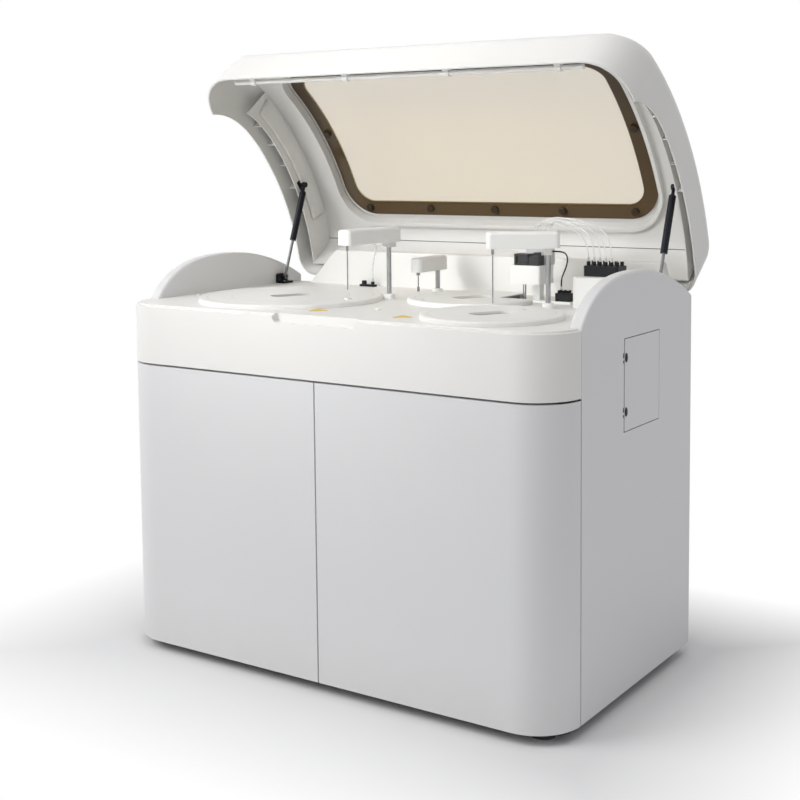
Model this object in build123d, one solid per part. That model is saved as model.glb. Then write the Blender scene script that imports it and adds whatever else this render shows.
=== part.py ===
from build123d import *
import math
import os

# Floor-standing clinical chemistry analyzer: a cabinet with two front doors carries an
# instrument deck with three round carousels, three pipetting arms and a wash station,
# all under one wide hinged lid with a tinted window.
# Millimetres. X to the right, Y to the rear, Z up. While it is built, y = 0 is the front
# face and z = 0 the floor. At the end everything is moved to the middle of its own box.

# ---- body
body_width = 1250.0
half_width = body_width / 2
body_depth = 710.0
corner_radius = 111.0
skirt_z = 25.0
deck_z = 886.0
lip_z = deck_z - 4.0
fascia_z = deck_z - 148.0
door_top_z = deck_z - 153.0
seam = 4.0
fit_gap = 0.3
shaft_clearance = 0.05

# ---- frame
rail_size = 40.0
rail_wall = 2.5
rail_z = 45.0
rail_inset_x = 55.0
rail_inset_y = 60.0
sheet = 3.0
plate_z = deck_z - 156.0
plate_thickness = 6.0
plate_door_gap = 6.0
foot_pad_radius = 28.0
foot_pad_height = 12.0
foot_stem_radius = 8.0

# ---- panels, fascia and doors
panel_skin = 3.0
panel_thickness = 32.0
panel_inner = half_width - panel_thickness
panel_flange = 20.0
arch_height = 104.0
arch_peak_y = 345.0
arch_shoulder_run = 58.0
arch_shoulder_rise = 58.0
arch_back_run = 190.0
arch_back_drop = 15.0
arch_rear_rise = 24.0
arch_edge_fillet = 7.0
door_thickness = 20.0
door_skin = 3.0
door_rim = 20.0
door_end_y = corner_radius - 2.5
door_pin_inset = 10.0
door_pin_y = corner_radius - 17.0
door_pin_radius = 4.0
fascia_thickness = 20.0
deck_inset = 8.0
deck_thickness = 16.0
grip_half = 120.0
grip_depth = 16.0
grip_reach = 19.0

# ---- service door in the right side panel
service_y0 = 323.0
service_y1 = 515.0
service_z1 = deck_z - 48.0
service_z0 = service_z1 - 209.0
service_gap = 2.0
service_pin_radius = 1.2
service_knuckle_radius = 2.5
service_knuckle_length = 22.0

# ---- lid
lid_wall = 4.0
lid_edge_z = deck_z - 1.0
lid_gap = 4.0
roof_radius = 800.0
roof_centre_y = 405.0
roof_centre_z = deck_z - 561.0
front_edge_radius = 60.0
rear_edge_radius = 70.0
lid_side_fillet = 50.0
lid_back_y = body_depth + 2.0
lid_rear_edge_z = deck_z + 13.0
lid_open_angle = 53.4
hinge_y = lid_back_y + 8.0
hinge_z = deck_z - 21.0
hinge_pin_radius = 5.0
hinge_spacing = 400.0
hinge_tongue = 28.0
hinge_ear = 8.0
hinge_ear_radius = 13.0
hinge_barrel_radius = 11.0
hinge_leaf_thickness = 5.0
hinge_leaf_top_z = hinge_z + 95.0

# ---- lid window and liner
window_half = 458.0
window_front_y = 128.0
window_back_y = lid_back_y - 130.0
window_corner = 55.0
pane_overlap = 37.0
pane_thickness = 4.0
liner_offset = 14.0
liner_wall = 3.0
liner_inset = 32.0
liner_front_y = 62.0
liner_side_y = 170.0
liner_edge_rise = 32.0
liner_rim = 10.0
liner_rim_height = 10.0
knob_radius = 11.0
knob_height = 9.0
knob_seat_gap = 0.1
tube_rail_radius = 6.0
tube_rail_half = 513.0
tube_rail_y = 30.0
rail_clip_spacing = 300.0

# ---- gas springs
strut_x = panel_inner - 17.0
strut_foot_y = hinge_y - 105.0
strut_foot_z = hinge_z + 40.0
strut_top_y = hinge_y - 8.0
strut_top_z = hinge_z + 301.0
strut_rod_radius = 4.0
strut_tube_radius = 9.0
strut_tube_length = 150.0
strut_eye_radius = 8.0
strut_eye_length = 10.0
strut_pin_radius = 4.0

# ---- rear wall of the deck
rear_wall_y = body_depth - 48.0
rear_wall_thickness = 26.0
rear_wall_top_z = deck_z + 97.0
rear_wall_left_top = panel_inner - 166.0
rear_wall_left_foot = panel_inner - 73.0
rear_wall_right_top = panel_inner - 26.0

# ---- carousels: centre, cover radius
reagent_x, reagent_y, reagent_radius = -272.0, 262.0, 234.0
sample_x, sample_y, sample_radius = panel_inner - 223.0, 176.0, 163.0
reaction_x, reaction_y, reaction_radius = sample_x - 215.0, rear_wall_y - 214.0, 162.0
cover_height = 12.0
cover_wall = 3.0
cover_ledge = 18.0
cover_notch_gap = 16.0
cover_grip_length = 110.0
cover_grip_width = 58.0
cover_grip_depth = 18.0
pot_wall = 3.0
turntable_gap = 5.0
turntable_thickness = 6.0
turntable_lift = 24.0
axle_radius = 6.0
hub_radius = 18.0
motor_radius = 28.0
motor_height = 60.0
bottle_ring_radius = 190.5
bottle_count = 24
bottle_depth = 42.0
bottle_width = 38.0
bottle_height = 92.0
bottle_wall = 2.0
bottle_neck = 9.0
inner_bottle_ring_radius = 125.0
inner_bottle_count = 12
tube_ring_radius = 100.0
outer_tube_ring_radius = 127.0
tube_count = 24
tube_radius = 6.5
tube_wall = 1.0
tube_height = 92.0
rack_height = 60.0
cuvette_ring_radius = 132.9
cuvette_count = 40
cuvette_width = 8.0
cuvette_depth = 12.0
cuvette_height = 40.0
cuvette_ring_half = 9.0

# ---- pipetting arms: column place, aim (degrees from +X), reach
reagent_arm_x, reagent_arm_y = reagent_x + 212.0, reagent_y + 134.0
reagent_arm_aim, reagent_arm_reach = 261.5, 149.6
sample_arm_x, sample_arm_y = sample_x + 22.0, sample_y + 226.0
sample_arm_aim, sample_arm_reach = 213.9, 131.0
mixer_arm_x, mixer_arm_y = reaction_x - 179.0, reaction_y + 121.0
mixer_arm_aim, mixer_arm_reach = 270.0, 93.0
reagent_head_z, reagent_head_height, reagent_head_width = deck_z + 146.0, 38.0, 44.0
sample_head_z, sample_head_height, sample_head_width = deck_z + 144.0, 40.0, 48.0
mixer_head_z, mixer_head_height, mixer_head_width = deck_z + 64.0, 37.0, 34.0
reagent_tip_z = deck_z + 35.0
sample_tip_z = deck_z + 13.5
mixer_tip_z = deck_z + 14.0
head_nose = 15.0
head_tail = 26.0
head_fillet = 8.0
head_socket = 22.0
column_radius = 6.0
reagent_collar, reagent_collar_height = 28.0, 12.0
sample_collar, sample_collar_height = 18.0, 16.0
column_depth = 50.0
guide_radius = 14.0
guide_height = 14.0
drive_size = 40.0
probe_radius = 1.5
probe_collar_radius = 3.5
probe_collar_height = 14.0
cover_hole_radius = 6.0
cover_hole_boss = 9.0
cover_hole_rise = 4.0
well_radius = 9.0
well_wall = 1.5
well_flange = 3.0
well_depth = 66.0
reagent_swing = 76.1
mixer_swing = 35.3
sample_swing_back = 21.0
sample_swing_out = 60.0

# ---- wash station
wash_width, wash_depth = 87.0, 74.0
wash_x0, wash_y0 = reaction_x + 85.0, reaction_y + 34.0
wash_x1, wash_y1 = wash_x0 + wash_width, wash_y0 + wash_depth
wash_z = deck_z + 46.0
wash_height = 46.0
wash_pipe_count = 4
wash_pipe_radius = 1.2
wash_pipe_lead = 20.0
wash_pipe_tip_z = deck_z - 2.0
wash_post_x, wash_post_y = wash_x0 + 61.0, wash_y0 + 38.0
wash_post_width = 22.0
wash_post_top = deck_z + 64.0
wash_travel = 25.0
wash_base_thickness = 6.0

# ---- tubes and cable
line_fitting_x, line_fitting_y = -284.0, rear_wall_y - 22.0
wash_tube_count = 5
tube_line_radius = 1.6
cable_radius = 1.8

# ---- tower with the tube manifold
tower_width, tower_depth = 126.0, 145.0
tower_x1, tower_y1 = panel_inner - 37.0, rear_wall_y - 72.0
tower_x0, tower_y0 = tower_x1 - tower_width, tower_y1 - tower_depth
tower_top_z = deck_z + 74.0
wash_base_x1 = tower_x0 - 30.0
manifold_length = 90.0
manifold_width = 52.0
manifold_height = 25.0
nub_radius = 4.5
nub_height = 10.0

# ---- services in the cabinet
tank_side_room = 75.0
tank_middle_room = 50.0
tank_spacing = 40.0
tank_width = (half_width - tank_side_room - tank_middle_room - tank_spacing) / 2
tank_depth = 330.0
tank_height = 300.0
tank_wall = 3.0
tank_neck_radius = 30.0
water_x = tank_side_room + tank_width / 2 - half_width
waste_x = -tank_middle_room - tank_width / 2
cap_height = 22.0
cap_wall = 4.0
supply_width = 220.0
supply_depth = 300.0
supply_height = 180.0
supply_wall = 3.0
pump_radius = 32.0
pump_length = 110.0
pump_count = 3
pump_pitch = 80.0
pump_base_height = 12.0
fan_size = 120.0
fan_thickness = 25.0
fan_bore = 56.0
fan_x = 300.0
fan_z = 420.0
fan_hub_radius = 18.0
fan_blades = 7
inlet_x = 175.0 - half_width
inlet_z = 160.0
rocker_pin_radius = 1.5

rail_top = rail_z + rail_size
deck_under = deck_z - deck_thickness
plate_top = plate_z + plate_thickness
cover_top = deck_z + cover_height
panel_front_y = corner_radius + 1.5
tube_rail_z = cover_top + 12.0
pot_floor_top = plate_top + pot_wall
rear_sheet_y = body_depth - 12.0
rocker_pin_y = rear_sheet_y - 1.0


def block(x0, x1, y0, y1, z0, z1):
    return Pos((x0 + x1) / 2, (y0 + y1) / 2, (z0 + z1) / 2) * Box(x1 - x0, y1 - y0, z1 - z0)


def post(x, y, z0, z1, radius):
    return Pos(x, y, (z0 + z1) / 2) * Cylinder(radius, z1 - z0)


def bar_x(x0, x1, y, z, radius):
    return Pos((x0 + x1) / 2, y, z) * Rot(0, 90, 0) * Cylinder(radius, x1 - x0)


def bar_y(x, y0, y1, z, radius):
    return Pos(x, (y0 + y1) / 2, z) * Rot(90, 0, 0) * Cylinder(radius, y1 - y0)


def polar(x, y, radius, degrees):
    angle = math.radians(degrees)
    return x + radius * math.cos(angle), y + radius * math.sin(angle)


def slab_x(face, x0, x1):
    """A face drawn in (y, z), made solid from x0 to x1."""
    return extrude(Plane.YZ.offset(x0) * face, amount=x1 - x0)


def mirrored(shape):
    return mirror(shape, about=Plane.YZ)


def group(*shapes):
    solids = [solid for shape in shapes for solid in shape.solids()]
    return Compound(children=solids)


def plan(inset, z0, z1, y1):
    """The body's outline from above, moved in by inset, with its two round front corners."""
    prism = block(-half_width + inset, half_width - inset, inset, 2 * body_depth, z0, z1)
    front = prism.edges().filter_by(Axis.Z).group_by(Axis.Y)[0]
    prism = fillet(front, corner_radius - inset)
    return prism & block(-half_width, half_width, 0, y1, z0, z1)


def rounded_prism(x0, x1, y0, y1, z0, z1, radius):
    prism = block(x0, x1, y0, y1, z0, z1)
    return fillet(prism.edges().filter_by(Axis.Z), radius)


def carousel_places():
    return [(reagent_x, reagent_y, reagent_radius), (sample_x, sample_y, sample_radius),
            (reaction_x, reaction_y, reaction_radius)]


# ---------------------------------------------------------------- frame and services
def make_feet():
    x = half_width - rail_inset_x - rail_size / 2
    feet = []
    for y in (rail_inset_y + rail_size / 2, body_depth - rail_inset_y - rail_size / 2):
        for side in (-1, 1):
            pad = post(side * x, y, 0, foot_pad_height, foot_pad_radius)
            pad = chamfer(pad.edges().group_by(Axis.Z)[-1], 3)
            stem = post(side * x, y, foot_pad_height, rail_z, foot_stem_radius)
            feet.append(pad + stem)
    return group(*feet)


def tube_x(x0, x1, y0, z0):
    outer = block(x0, x1, y0, y0 + rail_size, z0, z0 + rail_size)
    inner = block(x0 - 1, x1 + 1, y0 + rail_wall, y0 + rail_size - rail_wall,
                  z0 + rail_wall, z0 + rail_size - rail_wall)
    return outer - inner


def tube_y(x0, y0, y1, z0):
    outer = block(x0, x0 + rail_size, y0, y1, z0, z0 + rail_size)
    inner = block(x0 + rail_wall, x0 + rail_size - rail_wall, y0 - 1, y1 + 1,
                  z0 + rail_wall, z0 + rail_size - rail_wall)
    return outer - inner


def rail_ring(z0):
    x = half_width - rail_inset_x
    y0 = rail_inset_y
    y1 = body_depth - rail_inset_y
    front = tube_x(-x, x, y0, z0)
    back = tube_x(-x, x, y1 - rail_size, z0)
    left = tube_y(-x, y0 + rail_size, y1 - rail_size, z0)
    right = tube_y(x - rail_size, y0 + rail_size, y1 - rail_size, z0)
    return [front, back, left, right]


def make_uprights():
    x = half_width - rail_inset_x
    posts = []
    z1 = plate_z - rail_size
    for y0 in (rail_inset_y, body_depth - rail_inset_y - rail_size):
        for x0 in (-x, x - rail_size):
            outer = block(x0, x0 + rail_size, y0, y0 + rail_size, rail_top + sheet, z1)
            inner = block(x0 + rail_wall, x0 + rail_size - rail_wall, y0 + rail_wall,
                          y0 + rail_size - rail_wall, rail_top, z1 + 1)
            posts.append(outer - inner)
    return group(*posts)


def make_instrument_plate():
    x = half_width - rail_inset_x
    plate = block(-x, x, 0, rear_sheet_y - fit_gap, plate_z, plate_top)
    plate &= plan(door_thickness + plate_door_gap, plate_z - 1, plate_top + 1, body_depth)
    for x0, y0, radius in carousel_places():
        plate -= post(x0, y0, plate_z - 1, plate_top + 1, axle_radius + 1)
    return plate


def make_partition():
    y0 = rail_inset_y + rail_size
    y1 = body_depth - rail_inset_y - rail_size
    return block(-sheet / 2, sheet / 2, y0, y1, rail_top + sheet, plate_z)


def make_rear_sheet():
    y0 = rear_sheet_y
    y1 = y0 + sheet
    back = block(-panel_inner + 1, panel_inner - 1, y0, y1, skirt_z + 10, deck_under)
    back -= bar_y(fan_x, y0 - 1, y1 + 1, fan_z, fan_bore)
    slot_width, slot_height, slot_pitch, slot_count = 160.0, 6.0, 16.0, 9
    for i in range(slot_count):
        z = fan_z - slot_pitch * (slot_count - 1) / 2 + i * slot_pitch
        back -= block(-fan_x - slot_width / 2, -fan_x + slot_width / 2, y0 - 1, y1 + 1,
                      z - slot_height / 2, z + slot_height / 2)
    back -= block(inlet_x - 24, inlet_x + 24, y0 - 1, y1 + 1, inlet_z - 14, inlet_z + 14)
    back -= block(inlet_x + 36, inlet_x + 64, y0 - 1, y1 + 1, inlet_z - 12, inlet_z + 12)
    return back


def make_tank(x):
    z0 = rail_top + sheet
    z1 = z0 + tank_height
    y0 = body_depth / 2 - tank_depth / 2
    outer = rounded_prism(x - tank_width / 2, x + tank_width / 2, y0, y0 + tank_depth, z0, z1, 25)
    outer = fillet(outer.edges().group_by(Axis.Z)[-1], 10)
    outer += post(x, body_depth / 2, z1 - 1, z1 + cap_height, tank_neck_radius)
    inner = rounded_prism(x - tank_width / 2 + tank_wall, x + tank_width / 2 - tank_wall,
                          y0 + tank_wall, y0 + tank_depth - tank_wall, z0 + tank_wall,
                          z1 - tank_wall, 22)
    bore = post(x, body_depth / 2, z1 - tank_wall - 1, z1 + cap_height + 1,
                tank_neck_radius - tank_wall)
    return outer - inner - bore


def make_tank_cap(x):
    z0 = rail_top + sheet + tank_height + fit_gap
    z1 = z0 + cap_height + cap_wall
    outer = post(x, body_depth / 2, z0, z1, tank_neck_radius + cap_wall + fit_gap)
    outer = fillet(outer.edges().group_by(Axis.Z)[-1], 3)
    return outer - post(x, body_depth / 2, z0 - 1, z1 - cap_wall, tank_neck_radius + fit_gap)


def make_power_supply():
    x = half_width / 2 + 60
    z0 = rail_top + sheet
    y1 = body_depth - rail_inset_y - rail_size - 10
    box = block(x - supply_width / 2, x + supply_width / 2, y1 - supply_depth, y1, z0,
                z0 + supply_height)
    box = fillet(box.edges().filter_by(Axis.Z), 4)
    wall = supply_wall
    return box - block(x - supply_width / 2 + wall, x + supply_width / 2 - wall,
                       y1 - supply_depth + wall, y1 - wall, z0 - 1, z0 + supply_height - wall)


def make_pumps():
    x0 = half_width / 4 - 40
    z0 = rail_top + sheet
    base = block(x0 - 70, x0 + 70, 160, 160 + pump_pitch * pump_count, z0, z0 + pump_base_height)
    for i in range(pump_count):
        y = 160 + pump_pitch * (i + 0.5)
        z = z0 + pump_base_height + pump_radius - 2
        base += bar_x(x0 - pump_length / 2, x0 + pump_length / 2, y, z, pump_radius)
    return base


def make_fan_housing():
    y1 = rear_sheet_y
    y0 = y1 - fan_thickness
    half = fan_size / 2
    frame = block(fan_x - half, fan_x + half, y0, y1, fan_z - half, fan_z + half)
    frame = fillet(frame.edges().filter_by(Axis.Y), 6)
    frame -= bar_y(fan_x, y0 - 1, y1 + 1, fan_z, fan_bore)
    hub = bar_y(fan_x, y1 - 5, y1, fan_z, fan_hub_radius)
    hub += bar_y(fan_x, y0 + 4, y1 - 4, fan_z, 3)
    for i in range(4):
        strut = block(fan_hub_radius - 3, fan_bore + 2, y1 - 4, y1, -2.5, 2.5)
        hub += Pos(fan_x, 0, fan_z) * Rot(0, 45 + 90 * i, 0) * strut
    return frame + hub


def make_fan_rotor():
    y1 = rear_sheet_y - 5 - fit_gap
    y0 = rear_sheet_y - fan_thickness + 2
    rotor = bar_y(fan_x, y0, y1, fan_z, fan_hub_radius)
    for i in range(fan_blades):
        length = fan_bore - fan_hub_radius + 2
        blade = Pos(fan_bore - 2 - length / 2, 0, 0) * Rot(35, 0, 0) * Box(length, 2, 16)
        rotor += Pos(fan_x, (y0 + y1) / 2, fan_z) * Rot(0, i * 360 / fan_blades, 0) * blade
    rotor -= bar_y(fan_x, y0 - 1, y1 + 1, fan_z, 3 + shaft_clearance)
    return rotor


def make_power_inlet():
    y0 = rear_sheet_y - 22
    y1 = rear_sheet_y + sheet + 2
    body = block(inlet_x - 23.5, inlet_x + 23.5, y0, y1 - 2, inlet_z - 13.5, inlet_z + 13.5)
    body += block(inlet_x - 30, inlet_x + 30, y1 - 2, y1, inlet_z - 18, inlet_z + 18)
    body -= block(inlet_x - 13, inlet_x + 13, y0 + 4, y1 + 1, inlet_z - 9, inlet_z + 9)
    for dx in (-7, 0, 7):
        body += block(inlet_x + dx - 1, inlet_x + dx + 1, y0 + 3, y1 - 4, inlet_z - 2.5, inlet_z + 2.5)
    return body


def make_switch_housing():
    x = inlet_x + 50
    y0 = rear_sheet_y - 20
    y1 = rear_sheet_y + sheet + 2
    body = block(x - 13.5, x + 13.5, y0, y1 - 2, inlet_z - 11.5, inlet_z + 11.5)
    body += block(x - 18, x + 18, y1 - 2, y1, inlet_z - 16, inlet_z + 16)
    body -= block(x - 11, x + 11, y0 + 3, y1 + 1, inlet_z - 9, inlet_z + 9)
    return body + bar_x(x - 11.5, x + 11.5, rocker_pin_y, inlet_z, rocker_pin_radius)


def make_rocker():
    x = inlet_x + 50
    y1 = rear_sheet_y + sheet + 2
    rocker = block(x - 10.5, x + 10.5, y1 - 9, y1 + 3, inlet_z - 7.6, inlet_z + 7.6)
    rocker = fillet(rocker.edges().filter_by(Axis.X), 2)
    return rocker - bar_x(x - 11, x + 11, rocker_pin_y, inlet_z,
                          rocker_pin_radius + shaft_clearance)


# ---------------------------------------------------------------- skin
def arch_edge(rise):
    """The side panel's arched top edge in (y, z), lifted by rise."""
    z = lip_z + rise
    front = (panel_front_y, z)
    shoulder = (panel_front_y + arch_shoulder_run, z + arch_shoulder_rise)
    peak = (arch_peak_y, z + arch_height)
    back = (arch_peak_y + arch_back_run, z + arch_height - arch_back_drop)
    rear = (body_depth, z + arch_rear_rise)
    return Spline(front, shoulder, peak, back, rear)


def make_side_panel():
    """Right side panel: thin skin below the deck, closed double-skin arch above it."""
    arch = arch_edge(0)
    foot, head = arch @ 0, arch @ 1
    low_front = (foot.X, skirt_z)
    low_back = (head.X, skirt_z)
    sides = Polyline((head.X, head.Y), low_back, low_front, (foot.X, foot.Y))
    face = make_face(Wire([arch] + sides.edges()))
    panel = slab_x(face, panel_inner, half_width)
    inside = panel_inner - 1
    hollow = block(inside, half_width - panel_skin, panel_front_y + panel_flange,
                   body_depth - panel_flange, skirt_z - 1, deck_under)
    front = block(inside, half_width - panel_skin, panel_front_y - 1,
                  panel_front_y + panel_flange, skirt_z - 1, deck_under)
    panel -= hollow
    panel -= front
    top = panel.edges().filter_by(GeomType.BSPLINE)
    return fillet(top, arch_edge_fillet)


def service_opening(grow, x0, x1):
    return block(x0, x1, service_y0 - grow, service_y1 + grow, service_z0 - grow, service_z1 + grow)


def service_pin_place():
    return half_width - service_knuckle_radius - 0.1, service_y0 - service_gap - 1.0


def service_knuckles(first, count):
    x, y = service_pin_place()
    step = service_knuckle_length / 4
    out = []
    for z in (service_z0 + 44, service_z1 - 42):
        for i in range(first, first + 2 * count, 2):
            z0 = z - service_knuckle_length / 2 + i * step
            out.append(post(x, y, z0 + 0.2, z0 + step - 0.2, service_knuckle_radius))
    return out


def cut_service_opening(panel):
    x, y = service_pin_place()
    panel -= service_opening(service_gap, half_width - panel_skin - 1, half_width + 1)
    for z in (service_z0 + 44, service_z1 - 42):
        half = service_knuckle_length / 2
        panel -= block(half_width - panel_skin - 1, half_width + 1, y - 3.2, service_y0 + 1,
                       z - half - 0.5, z + half + 0.5)
    return panel


def make_service_door():
    x, y = service_pin_place()
    door = service_opening(0, half_width - panel_skin, half_width)
    door -= block(half_width - panel_skin - 1, half_width + 1, service_y0 - 1, service_y0 + 3,
                  service_z0 - 1, service_z1 + 1)
    for knuckle in service_knuckles(1, 1):
        box = knuckle.bounding_box()
        door += knuckle
        door += block(x - 1.5, x + 1.5, y, service_y0 + 4, box.min.Z, box.max.Z)
        door -= post(x, y, box.min.Z - 1, box.max.Z + 1, service_pin_radius + shaft_clearance)
    return door


def make_service_hinges():
    x, y = service_pin_place()
    pieces = []
    for z in (service_z0 + 44, service_z1 - 42):
        half = service_knuckle_length / 2
        pin = post(x, y, z - half, z + half, service_pin_radius)
        pin += block(x - 5, x - 2.9, y - 9, y + 2, z - half, z + half)
        pieces.append(pin)
    leaves = group(*pieces)
    for knuckle in service_knuckles(0, 2):
        box = knuckle.bounding_box()
        leaves += knuckle
        leaves += block(x - 3.5, x - 0.5, y - 1.5, y + 1.5, box.min.Z, box.max.Z)
    return leaves


def make_fascia():
    z_rebate = deck_under - fit_gap
    wall = plan(0, fascia_z, lip_z, corner_radius) - plan(fascia_thickness, fascia_z - 1,
                                                          lip_z + 1, corner_radius + 1)
    wall -= plan(deck_inset - fit_gap, z_rebate, lip_z + 1, corner_radius + 1)
    top = wall.edges().filter_by(Axis.X).group_by(Axis.Z)[-1].sort_by(Axis.Y)[0]
    wall = fillet(top, 3)
    grip = block(-grip_half, grip_half, -1, grip_reach, lip_z - grip_depth, lip_z + 10)
    grip = chamfer(grip.edges().filter_by(Axis.Y).group_by(Axis.Z)[0], 8)
    wall -= grip
    return wall


def make_deck():
    deck = plan(deck_inset, deck_under, deck_z, rear_wall_y + rear_wall_thickness)
    side = panel_inner - fit_gap
    for x0, x1 in ((-half_width, -side), (side, half_width)):
        deck -= block(x0, x1, panel_front_y - 1, body_depth, deck_under - 1, deck_z + 1)
    rim = deck.faces().filter_by(Axis.Z).sort_by(Axis.Z)[-1].edges()
    deck = fillet(rim.group_by(Axis.Y)[0], 3)
    for x, y, radius in carousel_places():
        deck -= post(x, y, deck_under - 1, deck_z + 1, radius - cover_ledge)
    for x, y in column_places():
        deck -= post(x, y, deck_under - 1, deck_z + 1, column_radius + 1)
    for x, y in well_places():
        deck -= post(x, y, deck_under - 1, deck_z + 1, well_radius + fit_gap)
    deck -= block(-grip_half, grip_half, 0, grip_reach, deck_under - 1, deck_z + 1)
    return deck


def make_door():
    """Right door, wrapped round the front corner, with a pocket behind its skin."""
    door = plan(0, skirt_z, door_top_z, corner_radius)
    door -= plan(door_thickness, skirt_z - 1, door_top_z + 1, corner_radius + 1)
    door &= block(seam / 2, half_width + 1, -1, door_end_y, skirt_z, door_top_z)
    pocket = plan(door_skin, skirt_z + door_rim, door_top_z - door_rim, corner_radius)
    pocket &= block(seam / 2 + door_rim, half_width, 0, door_end_y - door_rim - 8, skirt_z, door_top_z)
    door -= pocket
    bore = post(half_width - door_pin_inset, door_pin_y, skirt_z - 1, skirt_z + door_rim - 2,
                door_pin_radius + shaft_clearance)
    door -= bore
    door -= Pos(0, 0, door_top_z - skirt_z - door_rim + 3) * bore
    return door


def make_door_hinges():
    """Fixed pivot plates above and below the right door, each with its pin."""
    x = half_width - door_pin_inset
    y = door_pin_y
    x0 = half_width - rail_inset_x
    low = block(x0 - 10, x + 7, y - 40, y + 8, skirt_z - 5, skirt_z - 2)
    low &= plan(seam, skirt_z - 5, skirt_z - 2, corner_radius)
    low += block(x0 - 10, x0, y - 38, y - 5, skirt_z - 5, rail_z)
    low += post(x, y, skirt_z - 5, skirt_z + door_rim - 5, door_pin_radius)
    high = block(x0 + fit_gap, x + 7, y - 40, y + 8, fascia_z - 3, fascia_z)
    high &= plan(seam, fascia_z - 3, fascia_z, corner_radius)
    high += post(x, y, door_top_z - door_rim + 5, fascia_z, door_pin_radius)
    return [low, high]


def make_rear_wall():
    z0, z1 = deck_z, rear_wall_top_z
    outline = Polyline((-rear_wall_left_foot, z0), (-rear_wall_left_top, z1),
                       (rear_wall_right_top, z1), (panel_inner - 3, z0), close=True)
    face = make_face(outline)
    wall = extrude(Plane.XZ.offset(-rear_wall_y - rear_wall_thickness) * face,
                   amount=rear_wall_thickness)
    top = wall.edges().filter_by(Axis.X).group_by(Axis.Z)[-1]
    return fillet(top, 6)


# ---------------------------------------------------------------- lid
def roof_face(offset, z0):
    """The closed lid's section in (y, z), moved in by offset, down to z0."""
    front_y = front_edge_radius
    reach = roof_radius - front_edge_radius
    front_z = roof_centre_z + math.sqrt(reach ** 2 - (roof_centre_y - front_y) ** 2)
    rear_y = lid_back_y - rear_edge_radius
    rear_reach = roof_radius - rear_edge_radius
    rear_z = roof_centre_z + math.sqrt(rear_reach ** 2 - (rear_y - roof_centre_y) ** 2)
    front = Vector(front_y, front_z)
    rear = Vector(rear_y, rear_z)
    centre = Vector(roof_centre_y, roof_centre_z)
    to_front = (front - centre).normalized()
    to_rear = (rear - centre).normalized()
    front_mid = (to_front + Vector(-1, 0)).normalized()
    rear_mid = (to_rear + Vector(1, 0)).normalized()
    radius = roof_radius - offset
    roof_front = centre + to_front * radius
    roof_rear = centre + to_rear * radius
    edges = [
        Line((offset, z0), (offset, front_z)),
        ThreePointArc((offset, front_z), front + front_mid * (front_edge_radius - offset), roof_front),
        ThreePointArc(roof_front, centre + Vector(0, radius), roof_rear),
        ThreePointArc(roof_rear, rear + rear_mid * (rear_edge_radius - offset),
                      (lid_back_y - offset, rear_z)),
        Line((lid_back_y - offset, rear_z), (lid_back_y - offset, z0)),
        Line((lid_back_y - offset, z0), (offset, z0)),
    ]
    return make_face(Wire(edges))


def lid_block(offset, z0):
    """The closed lid as a solid, moved in by offset on every side."""
    section = slab_x(roof_face(offset, z0), -half_width + offset, half_width - offset)
    prism = section & plan(offset, z0 - 1, lid_edge_z + 400, lid_back_y)
    rims = [edge for edge in prism.edges() if is_roof_rim(edge.bounding_box(), z0)]
    return fillet(rims, lid_side_fillet - offset)


def is_roof_rim(box, z0):
    """Whether an edge of the lid's block, given by its box, lies between the roof and a wing."""
    aside = abs(box.center().X) > window_half
    return aside and box.min.Z > z0 + 1 and box.max.Z > lid_edge_z


def under_lid(gap, x0, x1):
    """Everything under the lid's lower edge, which follows the side panels' arch."""
    arch = arch_edge(gap)
    foot, head = arch @ 0, arch @ 1
    z0 = lid_edge_z - 200
    sides = Polyline((head.X, head.Y), (body_depth + 20, lid_rear_edge_z), (body_depth + 20, z0),
                     (-20, z0), (-20, lid_edge_z), (foot.X, lid_edge_z), (foot.X, foot.Y))
    return slab_x(make_face(Wire([arch] + sides.edges())), x0, x1)


def window_prism(grow, z0, z1):
    return rounded_prism(-window_half - grow, window_half + grow, window_front_y - grow,
                         window_back_y + grow, z0, z1, window_corner + grow)


def opened(shape):
    """Turns a piece of the closed lid to the open rest position."""
    hinge = Location((0, hinge_y, hinge_z))
    return hinge * Rot(-lid_open_angle, 0, 0) * hinge.inverse() * shape


def make_lid_shell():
    low = lid_edge_z - 60
    shell = lid_block(0, low) - lid_block(lid_wall, low - 20)
    shell -= under_lid(lid_gap, -half_width - 5, half_width + 5)
    shell -= window_prism(0, lid_edge_z, lid_edge_z + 400)
    return shell


def roof_band(offset, thickness):
    """A layer that follows the roof, between two offsets from its outer face."""
    x = half_width - liner_inset
    low = lid_edge_z - 60
    return slab_x(roof_face(offset, low), -x, x) - slab_x(roof_face(offset + thickness, low - 20),
                                                         -x - 1, x + 1)


def make_lid_window():
    layer = roof_band(lid_wall + fit_gap, pane_thickness)
    return layer & window_prism(pane_overlap, lid_edge_z, lid_edge_z + 400)


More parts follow.
